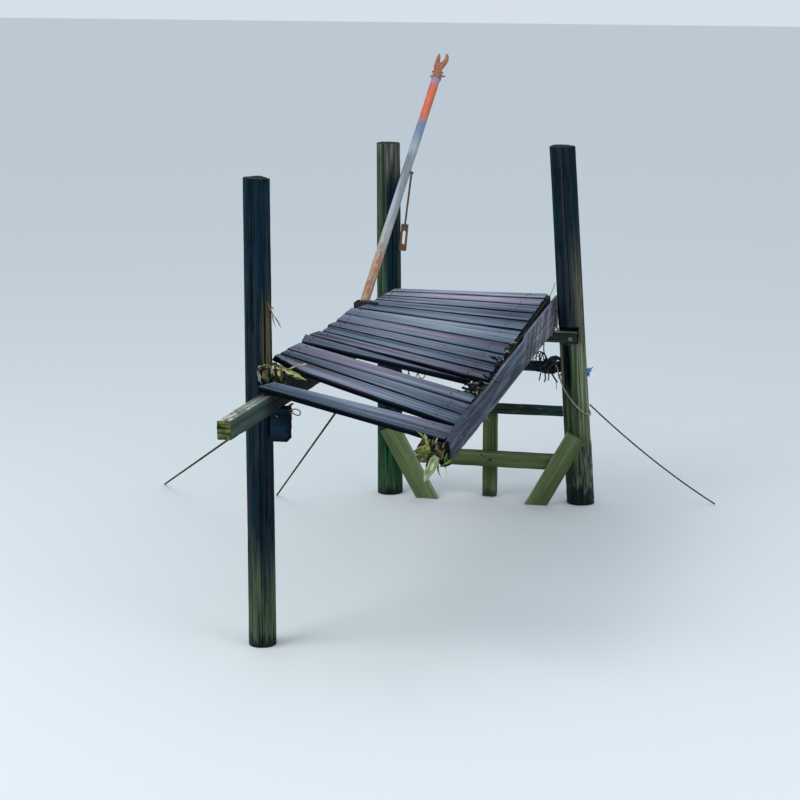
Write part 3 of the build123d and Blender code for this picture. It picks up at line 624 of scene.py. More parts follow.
tar_dark, tar_blue, tar_brown = rgb(2, 24, 36), rgb(10, 36, 48), rgb(54, 50, 54)
tar_green, pile_olive = rgb(12, 74, 56), rgb(76, 90, 66)


def side_share(theta, direction, width):
    """1 on the side of a pile that faces direction, in degrees, fading over width."""
    off = np.abs((np.degrees(theta) - direction + 180) % 360 - 180)
    return np.clip(1 - off / width, 0, 1)


def pile_paint(wet_top, olive_top, green_side, olive_full, brown_right, extra):
    """wet_top: height of the black wet band; olive_top: height where the tar begins."""
    def paint(f):
        z, theta, seed = f.z, f.theta, f.seed
        n = fbm(z / 0.5, theta * 4, 0, 3, seed + 41)
        t = fbm01(z / 0.9, theta * 9, 0, 3, seed + 43)
        lit = smooth(0.2, 0.8, t)
        low = (1 - smooth(olive_top - 0.35, olive_top + 0.25, z + 0.25 * n)) * olive_full
        right = side_share(theta, 325, 60) * brown_right * (1 - smooth(1.9, 2.7, z))
        tone = over(mix(tar_dark, tar_blue, smooth(0.25, 0.8, t)),
                    (tar_green, green_side * side_share(theta, 195, 50) * smooth(-0.2, 0.4, n)),
                    (mix(rgb(40, 54, 40), pile_olive, lit), low),
                    (mix(rgb(60, 66, 52), rgb(112, 108, 84), lit), right))
        tone, streak = extra(f, tone, mix(tar_brown, rgb(96, 106, 78), low))
        wet_line = wet_top + 0.05 * noise(theta * 5, 1.7, 0, seed + 47)
        wet_line = wet_line + 0.04 * noise(theta * 17, 5.7, 0, seed)
        wet = 1 - smooth(-0.01, 0.02, z - wet_line)
        tone = mix(tone, rgb(6, 16, 18), wet * 0.85)
        top = f.cut == HEAD
        rough = noise01(f.P[top, 0] / 0.02, f.P[top, 1] / 0.02, 0, 3)
        tone[top] = mix(rgb(24, 28, 30), rgb(70, 68, 66), rough)
        f.wet = wet * 0.9
        return tone, mix(streak, rgb(22, 36, 30), wet)
    return paint


def split_slab(f, tone, streak):
    """The tar has split off the front left pile's right side beside the deck."""
    z, theta = f.z, f.theta
    part = side_share(theta, 322, 34) ** 0.5 * smooth(2.05, 2.16, z)
    part = part * (1 - smooth(2.48, 2.72, z + 0.1 * np.sin(theta * 9)))
    bare = mix(rgb(20, 32, 32), rgb(104, 84, 68), smooth(-0.1, 0.35, noise(theta * 16, z / 0.6, 0, 71)))
    return mix(tone, bare, 0.9 * part), mix(streak, rgb(90, 104, 60), part)


def green_side_left(f, tone, streak):
    """The back left pile is grey-green on its left, bleached near its top, with weed at its foot."""
    z, theta = f.z, f.theta
    fibres = smooth(-0.4, 0.4, noise(theta * 14, z / 0.5, 0, 67))
    patches = 0.55 + 0.45 * smooth(-0.5, 0.2, noise(theta * 8, z / 0.4, 0, 61))
    part = side_share(theta, 216, 60) ** 0.4 * patches
    green = mix(rgb(44, 64, 42), rgb(90, 110, 76), fibres) * (1 + 0.25 * smooth(2.9, 3.2, z))[:, None]
    bleached = smooth(2.86, 3.16, z + 0.12 * noise(theta * 5, 2.3, 0, 68))
    pale = mix(rgb(30, 40, 40), rgb(136, 122, 112), fibres * side_share(theta, 318, 60) ** 0.4)
    right = side_share(theta, 338, 22) * smooth(1.2, 2.0, z)
    tone = over(tone, (green, 0.9 * part * smooth(1.2, 2.0, z)), (pale, 0.75 * bleached * (1 - part)),
                (rgb(56, 62, 56), 0.7 * right))
    weed = 1 - smooth(0.45, 0.8, z + 0.2 * noise(theta * 4, 1.1, 0, 63))
    weed = weed * smooth(-0.2, 0.4, noise(theta * 9, z / 0.1, 0, 65))
    streak = mix(streak, mix(tone, rgb(90, 110, 76), 0.5), np.maximum(part, bleached))
    return mix(tone, rgb(20, 92, 38), 0.75 * weed), streak


def bare_wood(f, tone, streak):
    """The back right pile is bare below the crosshead, with painted shade in a hollow on its left and bark at
    its foot.
    """
    z, theta = f.z, f.theta
    bare = smooth(0.55, 0.75, z) * (1 - smooth(1.48, 1.53, z))
    below = 1 - smooth(1.50, 1.51, z)
    lines = smooth(-0.35, 0.4, noise(theta * 15, z / 0.5, 0, 73))
    across = smooth(225, 330, np.degrees(theta) % 360)
    wood = mix(mix(rgb(22, 42, 28), rgb(60, 76, 52), lines),
               mix(rgb(72, 88, 62), rgb(126, 134, 110), lines), across)
    # Painted shade in the deep groove on the pile's left, below the crosshead.
    hollow = side_share(theta, 246, 22) ** 0.25 * smooth(1.0, 1.2, z) * below
    rim = side_share(theta, 216, 14) ** 0.5 * smooth(1.0, 1.15, z) * below
    bark = 1 - smooth(0.57, 0.60, z + 0.03 * noise(theta * 6, 3.1, 0, 75))
    rough = smooth(-0.3, 0.5, noise(theta * 12, z / 0.06, 0, 77))
    f.hollow[:] = np.maximum(f.hollow, 0.7 * hollow)
    tone = over(tone, (wood, 0.9 * bare), (rgb(8, 26, 34), 0.95 * hollow), (rgb(132, 116, 100), 0.8 * rim),
                (mix(rgb(20, 34, 34), rgb(84, 98, 84), rough * (0.4 + 0.6 * across)), 0.85 * bark))
    return tone, over(streak, (wood * 0.7, bare), (rgb(8, 26, 34), hollow))


def bark_layer(theta, z):
    """Bark that still clings to the pile's foot, as a negative depth."""
    edge = 0.585 + 0.03 * noise(theta * 6, 3.1, 0, 75)
    layer = 1 - smooth(edge - 0.004, edge + 0.004, z)
    return -0.008 * layer * (0.6 + 0.4 * noise(theta * 9, z / 0.05, 0, 79))


trunk("pile_front_left", pile_paint(0.06, 0.70, 0.8, 0.75, 0.0, split_slab),
      [(285, 0.0, 2.2, 0.016, 0.005), (262, 2.3, 3.6, 0.020, 0.005), (310, 0.8, 3.0, 0.013, 0.004),
       (235, 0.4, 2.6, 0.012, 0.004), (20, 0.5, 3.2, 0.012, 0.004), (140, 0.2, 3.0, 0.014, 0.004)],
      0.02, 5, 0.012, 3)
trunk("pile_back_left", pile_paint(0.05, 0.50, 0.3, 0.6, 0.0, green_side_left),
      [(270, 0.1, 1.3, 0.014, 0.005), (300, 1.9, 3.2, 0.014, 0.004), (245, 0.3, 3.3, 0.012, 0.004),
       (60, 0.5, 3.0, 0.012, 0.004), (150, 0.2, 2.5, 0.012, 0.004)],
      0.016, 9, 0.0, 11, notch=(-0.088, 0.3, 1.6105))
trunk("pile_back_right", pile_paint(0.13, 1.50, 0.3, 0.95, 0.8, bare_wood),
      [(276, 1.65, 3.4, 0.022, 0.005), (300, 0.3, 1.4, 0.014, 0.005), (246, 0.95, 1.52, 0.034, 0.030),
       (250, 0.2, 0.9, 0.012, 0.004), (20, 0.3, 2.8, 0.012, 0.004), (120, 0.4, 3.0, 0.012, 0.004)],
      0.026, 15, -0.006, 21, notch=(1.4, 1.758, 1.660), shape=bark_layer)


# Deck planks
deck_tones = [rgb(34, 50, 68), rgb(82, 100, 120), rgb(120, 134, 152), rgb(160, 170, 186)]
# gap_shade is painted shade for the joints and gaps between the planks.
deck_purple, deck_brown, gap_shade = rgb(112, 100, 120), rgb(78, 66, 74), rgb(4, 14, 22)

# Knots and scuffs on the deck: a line in x and y, its half width and its colour
deck_marks = [
    (0.655, -4.738, 0.685, -4.740, 0.011, rgb(16, 22, 34)),
    (0.845, -4.735, 0.868, -4.739, 0.010, rgb(16, 22, 34)),
    (0.605, -3.279, 0.625, -3.281, 0.009, rgb(20, 24, 36)),
    (0.381, -3.309, 0.470, -3.290, 0.014, rgb(150, 140, 156)),
    (1.270, -4.340, 1.330, -4.360, 0.008, rgb(20, 22, 30)),
    (0.330, -4.130, 0.560, -4.150, 0.010, rgb(126, 112, 116)),
    (1.387, -0.200, 1.473, -0.235, 0.009, rgb(170, 160, 172)),
    (0.960, -2.510, 1.020, -2.520, 0.008, rgb(24, 26, 38)),
]


def purpled(tone, share):
    """Turns a share of tone to deck_purple, as light as it was."""
    return mix(tone, tone.mean(1)[:, None] / deck_purple.mean() * deck_purple, share)


def deck_paint(lightness, hue, lit_edge):
    """Weathered boards: lightness and hue set one board off from the next; lit_edge gives a painted highlight
    along the front edge.
    """
    def paint(f):
        x, y, seed, width = f.x, f.v, f.seed, f.width
        broad = smooth(0.15, 0.85, fbm01(x / 1.1, y / 0.45, lightness, 2, seed + 31))
        bands = smooth(0.15, 0.85, fbm01(x / 0.8, f.s / 0.045, hue, 2, seed + 33))
        fibres = fbm01(x / 0.42, f.s / 0.014, hue, 2, seed + 37)
        t = 0.42 * broad + 0.38 * bands + 0.2 * fibres + 0.2 * lightness
        t = t - 0.22 * (1 - smooth(0.0, 0.4, x / f.length)) - 0.30 * smooth(0.55, 0.95, x / f.length)
        t = np.clip(t, 0, 1) * 3.0
        tone = sum(np.clip(1 - np.abs(t - n), 0, 1)[:, None] * colour for n, colour in enumerate(deck_tones))
        tone = purpled(tone, 0.65 * smooth(0.0, 0.5, noise(x / 0.6, y / 0.5, 0, seed + 35) + 0.4 * hue))
        # Painted shade along the plank's edges and ends, where it meets the next plank.
        rim = np.clip(1 - np.minimum(y * width / 0.006, (1 - y) * width / 0.008), 0, 1)
        rim = np.maximum(rim, np.clip(1 - np.minimum(x, f.length - x) / 0.014, 0, 1))
        tone = mix(tone, gap_shade, 0.85 * rim)
        # Painted shade on the plank's sides in the gaps, less on the upper part of the front face; hollow adds
        # more there.
        sides = np.isin(f.face, (RIGHT, LEFT))
        upper = smooth(0.5, 0.95, f.w) * (f.face == LEFT)
        shaded = mix(gap_shade, rgb(22, 36, 50), smooth(0.6, 0.95, fibres))
        tone = np.where(sides[:, None], mix(shaded, tone * 0.7, 0.8 * upper), tone)
        f.hollow[sides] = np.maximum(f.hollow[sides], 0.5)
        # Painted highlight along the front edge of the top face.
        pale = 0.7 * lit_edge * np.clip(1 - y * width / 0.009, 0, 1) * (f.face == TOP)
        tone = mix(tone, rgb(176, 166, 178), pale)
        # Painted shade on the underside, and the end faces darkened as painted shade over the end grain.
        tone[f.face == BOTTOM] = rgb(14, 24, 30)
        ends = f.face >= ENDS
        tone[ends] = mix(rgb(14, 22, 28), rgb(70, 74, 76), smooth(0.3, 0.9, fibres[ends]))
        for x0, y0, x1, y1, half, colour in deck_marks:
            run, off = np.array((x1 - x0, y1 - y0)), f.P[:, :2] - (x0, y0)
            along = np.clip(off @ run / (run @ run), 0, 1)
            far = np.linalg.norm(off - along[:, None] * run, axis=1)
            far = far + 0.3 * half * noise(x / 0.01, f.s / 0.01, 0, seed)
            tone = mix(tone, colour, 0.85 * (f.face == TOP) * (1 - smooth(0.6 * half, half, far)))
        return tone, np.where(sides[:, None] | (rim[:, None] > 0.3), gap_shade, deck_brown * 0.6)
    return paint


def plank_box(node):
    """A plank's corners; a broken front left corner is filled out along the plank's front edge."""
    points = node_points(node)
    if len(points) == 8:
        return corners(node, *crossways)
    left = points[points[:, 0] < 0.12]
    back = left[left[:, 1] > left[:, 1].max() - 0.01]
    front = points[points[:, 1] < points[:, 1].min() + 0.02]
    front = front[np.argsort(front[:, 2])]
    right = points[np.argsort(points[:, 0])[-4:]]
    box = np.zeros((2, 2, 2, 3))
    box[1] = right[np.lexsort((right[:, 2], right[:, 1]))].reshape(2, 2, 3)
    box[0, 1] = back[np.argsort(back[:, 2])]
    for k in (0, 1):
        run = box[1, 0, k] - front[k]
        box[0, 0, k] = box[1, 0, k] - run * (box[1, 0, k, 0] - box[0, 1, k, 0]) / run[0]
    return box


left_slope, front_plank_slope, right_slope, back_thinning = 0.040, 0.049, 0.045, 0.010


def settle(box, slope):
    """Twists a plank down onto both its beams and thins its back edge, so that the joints show dark."""
    left_width, right_width = (np.linalg.norm(box[i, 1, 0] - box[i, 0, 0]) for i in (0, 1))
    box[0, 1, :, 2] -= slope * left_width
    box[1, 0, :, 2] -= right_slope * right_width
    box[:, 1, 1, 2] -= back_thinning
    return box


broken_edge = ((0.10, -4.40), (0.22, -4.45), (0.34, -4.535))


def broken_place(box):
    """A plank whose front left corner has broken off along broken_edge."""
    whole = place_in(box)
    edge_x, edge_y = np.array(broken_edge).T

    def place(u, v, w):
        point = whole(u, v, w)
        back = whole(u, np.ones_like(v), w)
        front = whole(u, np.zeros_like(v), w)
        limit = np.interp(point[..., 0], edge_x, edge_y) + 0.012 * noise(point[..., 0] / 0.015, w * 3, 0, 77)
        limit = np.where(point[..., 0] > edge_x[-1], front[..., 1], np.maximum(limit, front[..., 1]))
        point[..., 1] = limit + (back[..., 1] - limit) * v
        return point
    return place


random = np.random.default_rng(7)
nail_spots, nail_columns, nail_shares = [], (0.15, 1.30), (0.3, 0.72)
plank_names = [f"deck_plank_{n:02d}" for n in range(1, 15)] + ["front_plank"]
plank_lightness = [1.9, 1.7, 1.1, 0.7, 0.6, 0.7, 0.45, 0.3, 0.15, -0.1, -0.5, 0.35, 0.05, -0.2, -0.2]
plank_hue = [-0.2, 0.5, 0.0, 0.2, -0.3, 0.1, 0.3, -0.4, 0.2, -0.2, 0.4, 0.5, 0.0, -0.3, -0.5]
for n, (node, lightness, hue) in enumerate(zip(plank_names, plank_lightness, plank_hue)):
    cracks = []
    for _ in range(4):
        start = random.uniform(-0.1, 0.6)
        cracks.append((TOP, random.uniform(0.1, 0.9), start, start + random.uniform(0.25, 0.6),
                       random.uniform(0.006, 0.014), random.uniform(0.0025, 0.0045)))
    cracks.append((LEFT, random.uniform(0.3, 0.7), 0.05, 0.7, 0.010, 0.003))
    in_front = node == "front_plank"
    box = settle(plank_box(node), front_plank_slope if in_front else left_slope)
    place = broken_place(box) if node == "deck_plank_14" else place_in(box)
    timber(node, place, box_size(box), "deck", deck_paint(lightness, hue, in_front), cracks, seed=100 + n,
           ragged=(0.018, 0.022), warp=0.004, grain=0.0018, edge=0.005, cell=0.0095, step=0.034)
    for x in nail_columns:
        for share in nail_shares:
            u = (x + random.uniform(-0.02, 0.02) - box[0, 0, 0, 0]) / (box[1, 0, 0, 0] - box[0, 0, 0, 0])
            v = share + random.uniform(-0.06, 0.06)
            nail_spots.append(place(*(np.array([value]) for value in (u, v, 1.0)))[0])


# Long timbers
board = node_points("right_stringer")
board_width_middle = (board[:, 0].min() + board[:, 0].max()) / 2
board_outer = board[board[:, 0] > board_width_middle]
board_outer = board_outer[np.argsort(board_outer[:, 1])]
board_high, board_low = board_outer[board_outer[:, 2] > 1.7], board_outer[board_outer[:, 2] < 1.7]
board_width = board_high[0, 0] - board[:, 0].min()


def board_place(u, v, w):
    """Shares along, across and up to points, from the board's own profile."""
    front = board_low[0, 1] + (board_high[0, 1] - board_low[0, 1]) * w
    y = front + (board_high[-1, 1] - front) * u
    bottom = board_low[0, 2]
    top = np.interp(y, board_high[:, 1], board_high[:, 2])
    outer = np.interp(y, board_high[[0, -1], 1], board_high[[0, -1], 0])
    return np.stack([outer - (1 - v) * board_width, y, bottom + (top - bottom) * w], -1)


def board_paint(f):
    """Dark slate, crossed near the pile by steep dark and purple streaks, darker at the front, with painted
    shadow over its front end and end faces.
    """
    y, z = f.P[:, 1], f.P[:, 2]
    ahead, outer = 1 - smooth(-4.6, -2.6, y), f.face == RIGHT
    t = smooth(0.2, 0.85, fbm01(f.x / 0.7, f.s / 0.035, 0, 3, 301))
    tone = mix(rgb(18, 34, 50), mix(rgb(84, 102, 122), rgb(44, 60, 80), ahead), t)
    tone = purpled(tone, 0.5 * smooth(0.0, 0.5, noise(f.x / 0.5, f.s / 0.06, 0, 303)))
    fibres = noise(f.x / 0.22, f.s / 0.007, 0, 307)
    across = smooth(0.25, 0.7, noise01((y - 0.7 * (z - 1.8)) / 0.045, z / 0.25, 0, 305))
    # Painted shadow over the front end of the board.
    tip = 1 - smooth(0.03, 0.10, f.x + 0.03 * noise(f.s / 0.015, 1.0, 0, 309))
    tone = over(tone, (rgb(108, 94, 120), 0.7 * ahead * smooth(0.3, 0.55, fibres) * outer),
                (rgb(8, 20, 30), 0.8 * ahead * smooth(0.25, 0.5, -fibres)),
                (mix(rgb(40, 52, 66), rgb(138, 128, 142), across), 0.75 * smooth(-2.4, -0.9, y) * outer),
                (mix(rgb(112, 120, 134), rgb(60, 66, 80), ahead), 0.6 * (f.face == TOP)),
                (rgb(10, 18, 22), 0.9 * np.maximum(tip, f.face >= ENDS)))
    return tone, rgb(24, 30, 36)


timber("right_stringer", board_place, (5.25, board_width, 0.26), "stringer", board_paint,
       [(RIGHT, 0.35, 0.05, 0.7, 0.010, 0.004), (RIGHT, 0.6, 0.3, 1.1, 0.010, 0.004),
        (RIGHT, 0.8, -0.1, 0.4, 0.008, 0.003), (LEFT, 0.5, 0.1, 0.9, 0.008, 0.003)],
       ragged=(0.06, 0.01), step=0.03, seed=201, edge=0.004)


def faced_paint(sides, top, ends, accent, shade=None):
    """Colours for a timber's sides, top and ends, each from dark to light; shade darkens them by place."""
    def paint(f):
        t = smooth(0.2, 0.85, fbm01(f.x / 0.5, f.s / 0.03, 0, 3, f.seed + 31))
        rough = smooth(0.2, 0.8, noise01(*f.P.T / 0.02, 3))
        on_top, on_end = (f.face == TOP)[:, None], (f.face >= ENDS)[:, None]
        tone = np.where(on_end, mix(*ends, rough), np.where(on_top, mix(*top, t), mix(*sides, t)))
        if shade:
            tone = mix(tone, rgb(4, 14, 20), shade(f.P))
        return tone, np.where(on_top | on_end, accent, tone * 0.6)
    return paint


# Painted shade: near-black colours for timbers that lie under the deck and under the bearer.
under_deck_shade, stub_shade = (rgb(4, 18, 26), rgb(22, 38, 42)), (rgb(0, 10, 20), rgb(14, 34, 48))
moss = (rgb(30, 38, 20), rgb(112, 126, 66))
# The bearer gets painted shade where it runs back under the deck.
bearer_paint = faced_paint((rgb(36, 54, 52), rgb(62, 78, 72)), (rgb(96, 112, 112), rgb(168, 172, 164)), moss,
                           rgb(84, 104, 48), lambda p: 0.95 * smooth(-5.3, -4.80, p[:, 1]) ** 1.5)


def mossy_bearer(f):
    """The bearer with a bleached and mossy top near its end, and moss in bands across the end."""
    tone, streak = bearer_paint(f)
    top, end = (f.face == TOP) * (1 - smooth(0.3, 1.0, f.x)), f.face >= ENDS
    bands = noise(f.P[:, 2] / 0.012, f.P[:, 0] / 0.08 + f.P[:, 2] / 0.05, 0, 227)
    tone = over(tone,
                (rgb(206, 202, 194), 0.8 * top * smooth(-0.3, 0.1, noise(f.x / 0.10, f.s / 0.03, 0, 221))),
                (rgb(104, 122, 48), 0.8 * top * smooth(0.2, 0.4, noise(f.x / 0.08, f.s / 0.02, 0, 223))),
                (rgb(60, 40, 40), 0.8 * top * smooth(0.3, 0.45, noise(f.x / 0.05, f.s / 0.012, 0, 225))),
                (rgb(12, 16, 8), 0.85 * end * smooth(0.1, 0.4, bands)),
                (rgb(140, 146, 92), 0.6 * end * smooth(0.2, 0.5, -bands)))
    return tone, mix(streak, tone * 0.7, np.maximum(top, end))


timber_from("left_bearer", forward, "olive", mossy_bearer, seed=202, ragged=(0.02, 0.01), rot=(0.02, 0.0),
            warp=0.005, slot="mossy_wood",
            cracks=[(TOP, 0.55, -0.1, 0.25, 0.025, 0.007), (TOP, 0.25, -0.1, 0.2, 0.014, 0.004),
                    (LEFT, 0.5, 0.0, 0.5, 0.012, 0.004), (RIGHT, 0.6, -0.1, 0.3, 0.01, 0.003)])
# The left beam is painted shade under the deck, darker still further back from its front end, with moss on its
# end.
left_beam_paint = faced_paint(under_deck_shade, under_deck_shade, moss, rgb(30, 34, 28),
                              lambda p: 0.8 * smooth(-4.50, -4.40, p[:, 1]))
timber_from("left_deck_beam", forward, "mossy", left_beam_paint, seed=203, ragged=(0.05, 0.01),
            rot=(0.10, 0.0), warp=0.005)
# The right beam's sides are painted shade under the deck.
right_beam_paint = faced_paint(under_deck_shade, (rgb(30, 40, 36), rgb(78, 88, 70)),
                               (rgb(8, 14, 12), rgb(60, 62, 40)), rgb(58, 62, 40))
timber_from("right_deck_beam", forward, "mossy", right_beam_paint, seed=204, ragged=(0.20, 0.01),
            rot=(0.22, 0.0), warp=0.006, step=0.025)
# The bearer stub under the deck is painted shade all over.
timber_from("right_bearer_stub", forward, "mossy", plain_paint(*under_deck_shade, rgb(30, 34, 28)), seed=205)
# The crosshead's top face is painted light, a painted highlight on a top that lies in the shade of the pile's
# notch.
crosshead_paint = faced_paint((rgb(12, 30, 34), rgb(54, 66, 58)), (rgb(176, 170, 156), rgb(222, 208, 192)),
                              (rgb(40, 50, 44), rgb(90, 94, 74)), rgb(70, 74, 54))
timber_from("back_crosshead", crossways, "mossy", crosshead_paint, seed=206,
            cracks=[(LEFT, 0.4, 0.5, 1.1, 0.008, 0.003)])
# The crosshead stub below the bearer is painted shade all over.
timber_from("crosshead_stub", crossways, "tar", faced_paint(stub_shade, stub_shade, stub_shade, rgb(52, 40, 44)),
            seed=207, edge=0.008, ragged=(0.01, 0.02), slot="mossy_wood")

olive_paint = plain_paint(rgb(48, 60, 32), rgb(84, 98, 60), rgb(104, 112, 80))
dark_paint = plain_paint(rgb(4, 28, 28), rgb(26, 58, 52), rgb(80, 58, 40))


def lit_rail(f):
    """Olive with a painted highlight along the upper edge of the front face."""
    tone, streak = olive_paint(f)
    # Painted highlight along the upper edge of the front face.
    band = smooth(0.93, 0.97, f.w) * (f.face == LEFT)
    return mix(tone, rgb(140, 142, 124), 0.75 * band), streak


def post_paint(f):
    """Olive up to the upper rail, painted shade above it where it stands under the deck, and wet at its foot.
    """
    tone, streak = olive_paint(f)
    above = smooth(0.86, 0.92, f.P[:, 2])
    foot = 1 - smooth(0.055, 0.075, f.P[:, 2] + 0.01 * noise(f.s / 0.03, 1.0, 0, 215))
    # Painted shade above the rail, with real wet darkening at the foot.
    dark = np.maximum(above, 0.75 * foot)
    f.wet = 0.7 * foot
    return mix(tone, rgb(6, 20, 26), 0.92 * dark), mix(streak, rgb(10, 30, 32), dark)


def specked_paint(f):
    """Dark green with a few orange specks."""
    tone, streak = dark_paint(f)
    specks = smooth(0.70, 0.76, noise(f.x / 0.030, f.s / 0.016, 0, 219))
    return mix(tone, rgb(112, 74, 36), 0.8 * specks), streak * 0.6


timber_from("lower_rail", crossways, "olive", lit_rail, seed=211, edge=0.007,
            cracks=[(LEFT, 0.55, 0.5, 0.8, 0.006, 0.003)])
timber_from("upper_rail", crossways, "dark", specked_paint, seed=212,
            cracks=[(LEFT, 0.4, 0.2, 0.7, 0.006, 0.003)])
timber_from("rope_rail", crossways, "dark", dark_paint, seed=213)
timber_from("middle_post", upwards, "olive", post_paint, seed=214,
            cracks=[(BOTTOM, 0.4, 0.3, 0.9, 0.008, 0.003)])


def brace_box(node):
    """A brace's corners: its foot, then its head."""
    points = node_points(node)
    box = np.zeros((2, 2, 2, 3))
    for i, group in enumerate((points[points[:, 2] < 0.3], points[points[:, 2] >= 0.3])):
        group = group[np.argsort(group[:, 0])]
        for j, pair in enumerate((group[:2], group[2:])):
            box[i, j] = pair[np.argsort(pair[:, 1])][::-1]
    return box


def brace_paint(lit_side):
    """Plain olive with a painted highlight along the edge on one side."""
    def paint(f):
        t = fbm01(f.x / 0.6, f.s / 0.08, 0, 2, f.seed + 31)
        tone = mix(rgb(74, 88, 54), rgb(100, 116, 78), smooth(0.2, 0.85, t))
        # Painted highlight along the edge of the lit side.
        rim = 1 - smooth(0.02, 0.05, np.abs(f.v - lit_side))
        return mix(tone, rgb(150, 150, 136), 0.8 * rim), rgb(56, 66, 44)
    return paint


brace_size = (0.75, 0.19, 0.045)
for n, node in enumerate(("left_brace", "right_brace")):
    timber(node, place_in(brace_box(node)), brace_size, "olive", brace_paint(1.0 - n),
           [(TOP, 0.4, 0.35, 0.8, 0.006, 0.0025), (TOP, 0.72, 0.6, 0.95, 0.006, 0.0025)], seed=221 + n)


# Leaning pole
def tube(name, path, radius, material, paint, replaced=(), sides=24, dents=0.0, seed=1):
    """A round bar with closed ends along path, with radius a number or an array."""
    path = np.asarray(path, float)
    radius = np.broadcast_to(radius, (len(path),))
    along = along_path(path)
    _, normals, others = directions(path, (0.3, 0.9, 0.2))
    angles = np.linspace(0, 2 * math.pi, sides, endpoint=False)
    cos, sin = np.cos(angles), np.sin(angles)
    r = radius[:, None] - dents * noise01(cos * 1.5, sin * 1.5, along[:, None] / 0.12, seed)
    rings = path[:, None] + r[..., None] * (cos[:, None] * normals[:, None] + sin[:, None] * others[:, None])
    points = np.concatenate([rings.reshape(-1, 3), path[:1], path[-1:]])
    x = np.append(np.repeat(along, sides), [0, along[-1]])
    s = np.append(np.tile(angles * radius.mean(), len(path)), [0, 0])
    grain = np.stack([x + seed, s, np.full(len(x), seed * 0.3)], 1)
    return make_mesh(name, points, grid_quads(len(path), sides), end_fans(len(path), sides),
                     painted(surface(points, x=x, s=s, seed=seed), grain, paint), material, replaced)


pole_foot, pole_radius = np.array((0.0217, -1.160, 1.990)), 0.0408
pole_head = node_points("leaning_pole")
pole_head = pole_head[pole_head[:, 2] > pole_head[:, 2].max() - 0.07]
pole_axis = (pole_head.min(0) + pole_head.max(0)) / 2 - pole_foot
pole_length = np.linalg.norm(pole_axis)
pole_axis = pole_axis / pole_length


def pole_paint(f):
    """Red paint at both ends and grey between; the lower end is worn through in patches."""
    x, s = f.x / pole_length, f.s
    wavy = x + 0.012 * noise(s / 0.03, 2.0, 0, 5) + 0.006 * noise(s / 0.008, f.x / 0.02, 0, 6)
    lines = smooth(-0.4, 0.5, noise(f.x / 0.5, s / 0.012, 0, 7))
    red = mix(rgb(190, 86, 62), rgb(208, 108, 80), smooth(-0.5, 0.5, noise(f.x / 0.3, s / 0.02, 0, 8)))
    upper = smooth(0.755, 0.80, wavy)
    lower = 1 - smooth(0.14, 0.24, wavy + 0.05 * noise(f.x / 0.10, s / 0.012, 0, 12))
    bare = smooth(0.15, 0.3, noise(f.x / 0.05, s / 0.012, 0, 9)) * (1 - smooth(0.12, 0.3, x))
    rust = smooth(0.3, 0.5, noise(f.x / 0.09, s / 0.01, 0, 10)) * (1 - smooth(0.2, 0.35, x))
    edge = smooth(0.35, 0.6, noise(f.x / 0.4, s / 0.02, 0, 11)) * (1 - np.clip(upper + lower, 0, 1))
    tone = over(mix(rgb(124, 134, 142), rgb(166, 178, 188), lines),
                (rgb(92, 118, 152), 0.8 * smooth(0.64, 0.74, x)),
                (rgb(150, 168, 158), 0.6 * (1 - smooth(0.28, 0.4, x))), (red, upper),
                (mix(rgb(158, 92, 60), rgb(166, 116, 78), lines), lower), (rgb(150, 156, 140), 0.8 * bare),
                (rgb(120, 66, 56), 0.6 * rust), (rgb(150, 104, 100), 0.5 * edge))
    streak = mix(tone * 0.86, rgb(176, 176, 164), lower * 0.8)
    collar = (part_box("fork_head")[0][2] - pole_foot[2]) / pole_axis[2]
    return mix(tone, rgb(150, 138, 168), smooth(collar - 0.033, collar - 0.028, f.x)), streak


pole_path = [pole_foot + pole_axis * t for t in np.linspace(0.0, pole_length, 240)]
tube("leaning_pole.paint", pole_path, pole_radius, "paint", pole_paint, ["leaning_pole"], 28, 0.0012, 31)

for node, material in (("fork_head", "orange_steel"), ("hanging_bar", "rusty"), ("hanger_bolt", "dark_steel"),
                       ("fork_pin_lower", "red_steel"), ("fork_pin_upper", "red_steel")):
    mesh = frame["nodes"][node].data
    mesh.materials.clear()
    mesh.materials.append(materials[material])


# Small metal pieces
def prism(outline, origin, u, v, thickness, bevel=0.0015):
    """A plate with bevelled edges: its outline in u and v, its thickness along u x v."""
    outline = np.array(outline, float)
    turn = unit(unit(np.roll(outline, -1, 0) - outline) + unit(outline - np.roll(outline, 1, 0)))
    inner = outline + np.stack([-turn[:, 1], turn[:, 0]], 1) * bevel
    levels = ((inner, 0), (outline, bevel), (outline, thickness - bevel), (inner, thickness))
    rings = [np.array(origin) + shape[:, :1] * u + shape[:, 1:] * v + height * np.cross(u, v)
             for shape, height in levels]
    sides, tris = len(outline), []
    for t in tessellate_polygon([[Vector((x, y, 0)) for x, y in inner]]):
        (ax, ay), (bx, by), (cx, cy) = (inner[i] for i in t)
        up = tuple(t) if (bx - ax) * (cy - ay) - (by - ay) * (cx - ax) > 0 else tuple(t)[::-1]
        tris += [tuple(i + 3 * sides for i in up), up[::-1]]
    return np.concatenate(rings), grid_quads(4, sides), np.array(tris)


def turned(profile, origin, axis, sides=16):
    """A body turned about an axis from (along, radius) pairs, its ends closed."""
    origin, axis = np.array(origin), unit(axis)
    first = unit(np.cross(axis, (0.31, 0.52, 0.79)))
    angles = np.arange(sides) * 2 * math.pi / sides
    out = np.cos(angles)[:, None] * first + np.sin(angles)[:, None] * np.cross(axis, first)
    rings = [origin + axis * x + out * r for x, r in profile]
    rings.append([origin + axis * profile[0][0], origin + axis * profile[-1][0]])
    return np.concatenate(rings), grid_quads(len(profile), sides), end_fans(len(profile), sides)


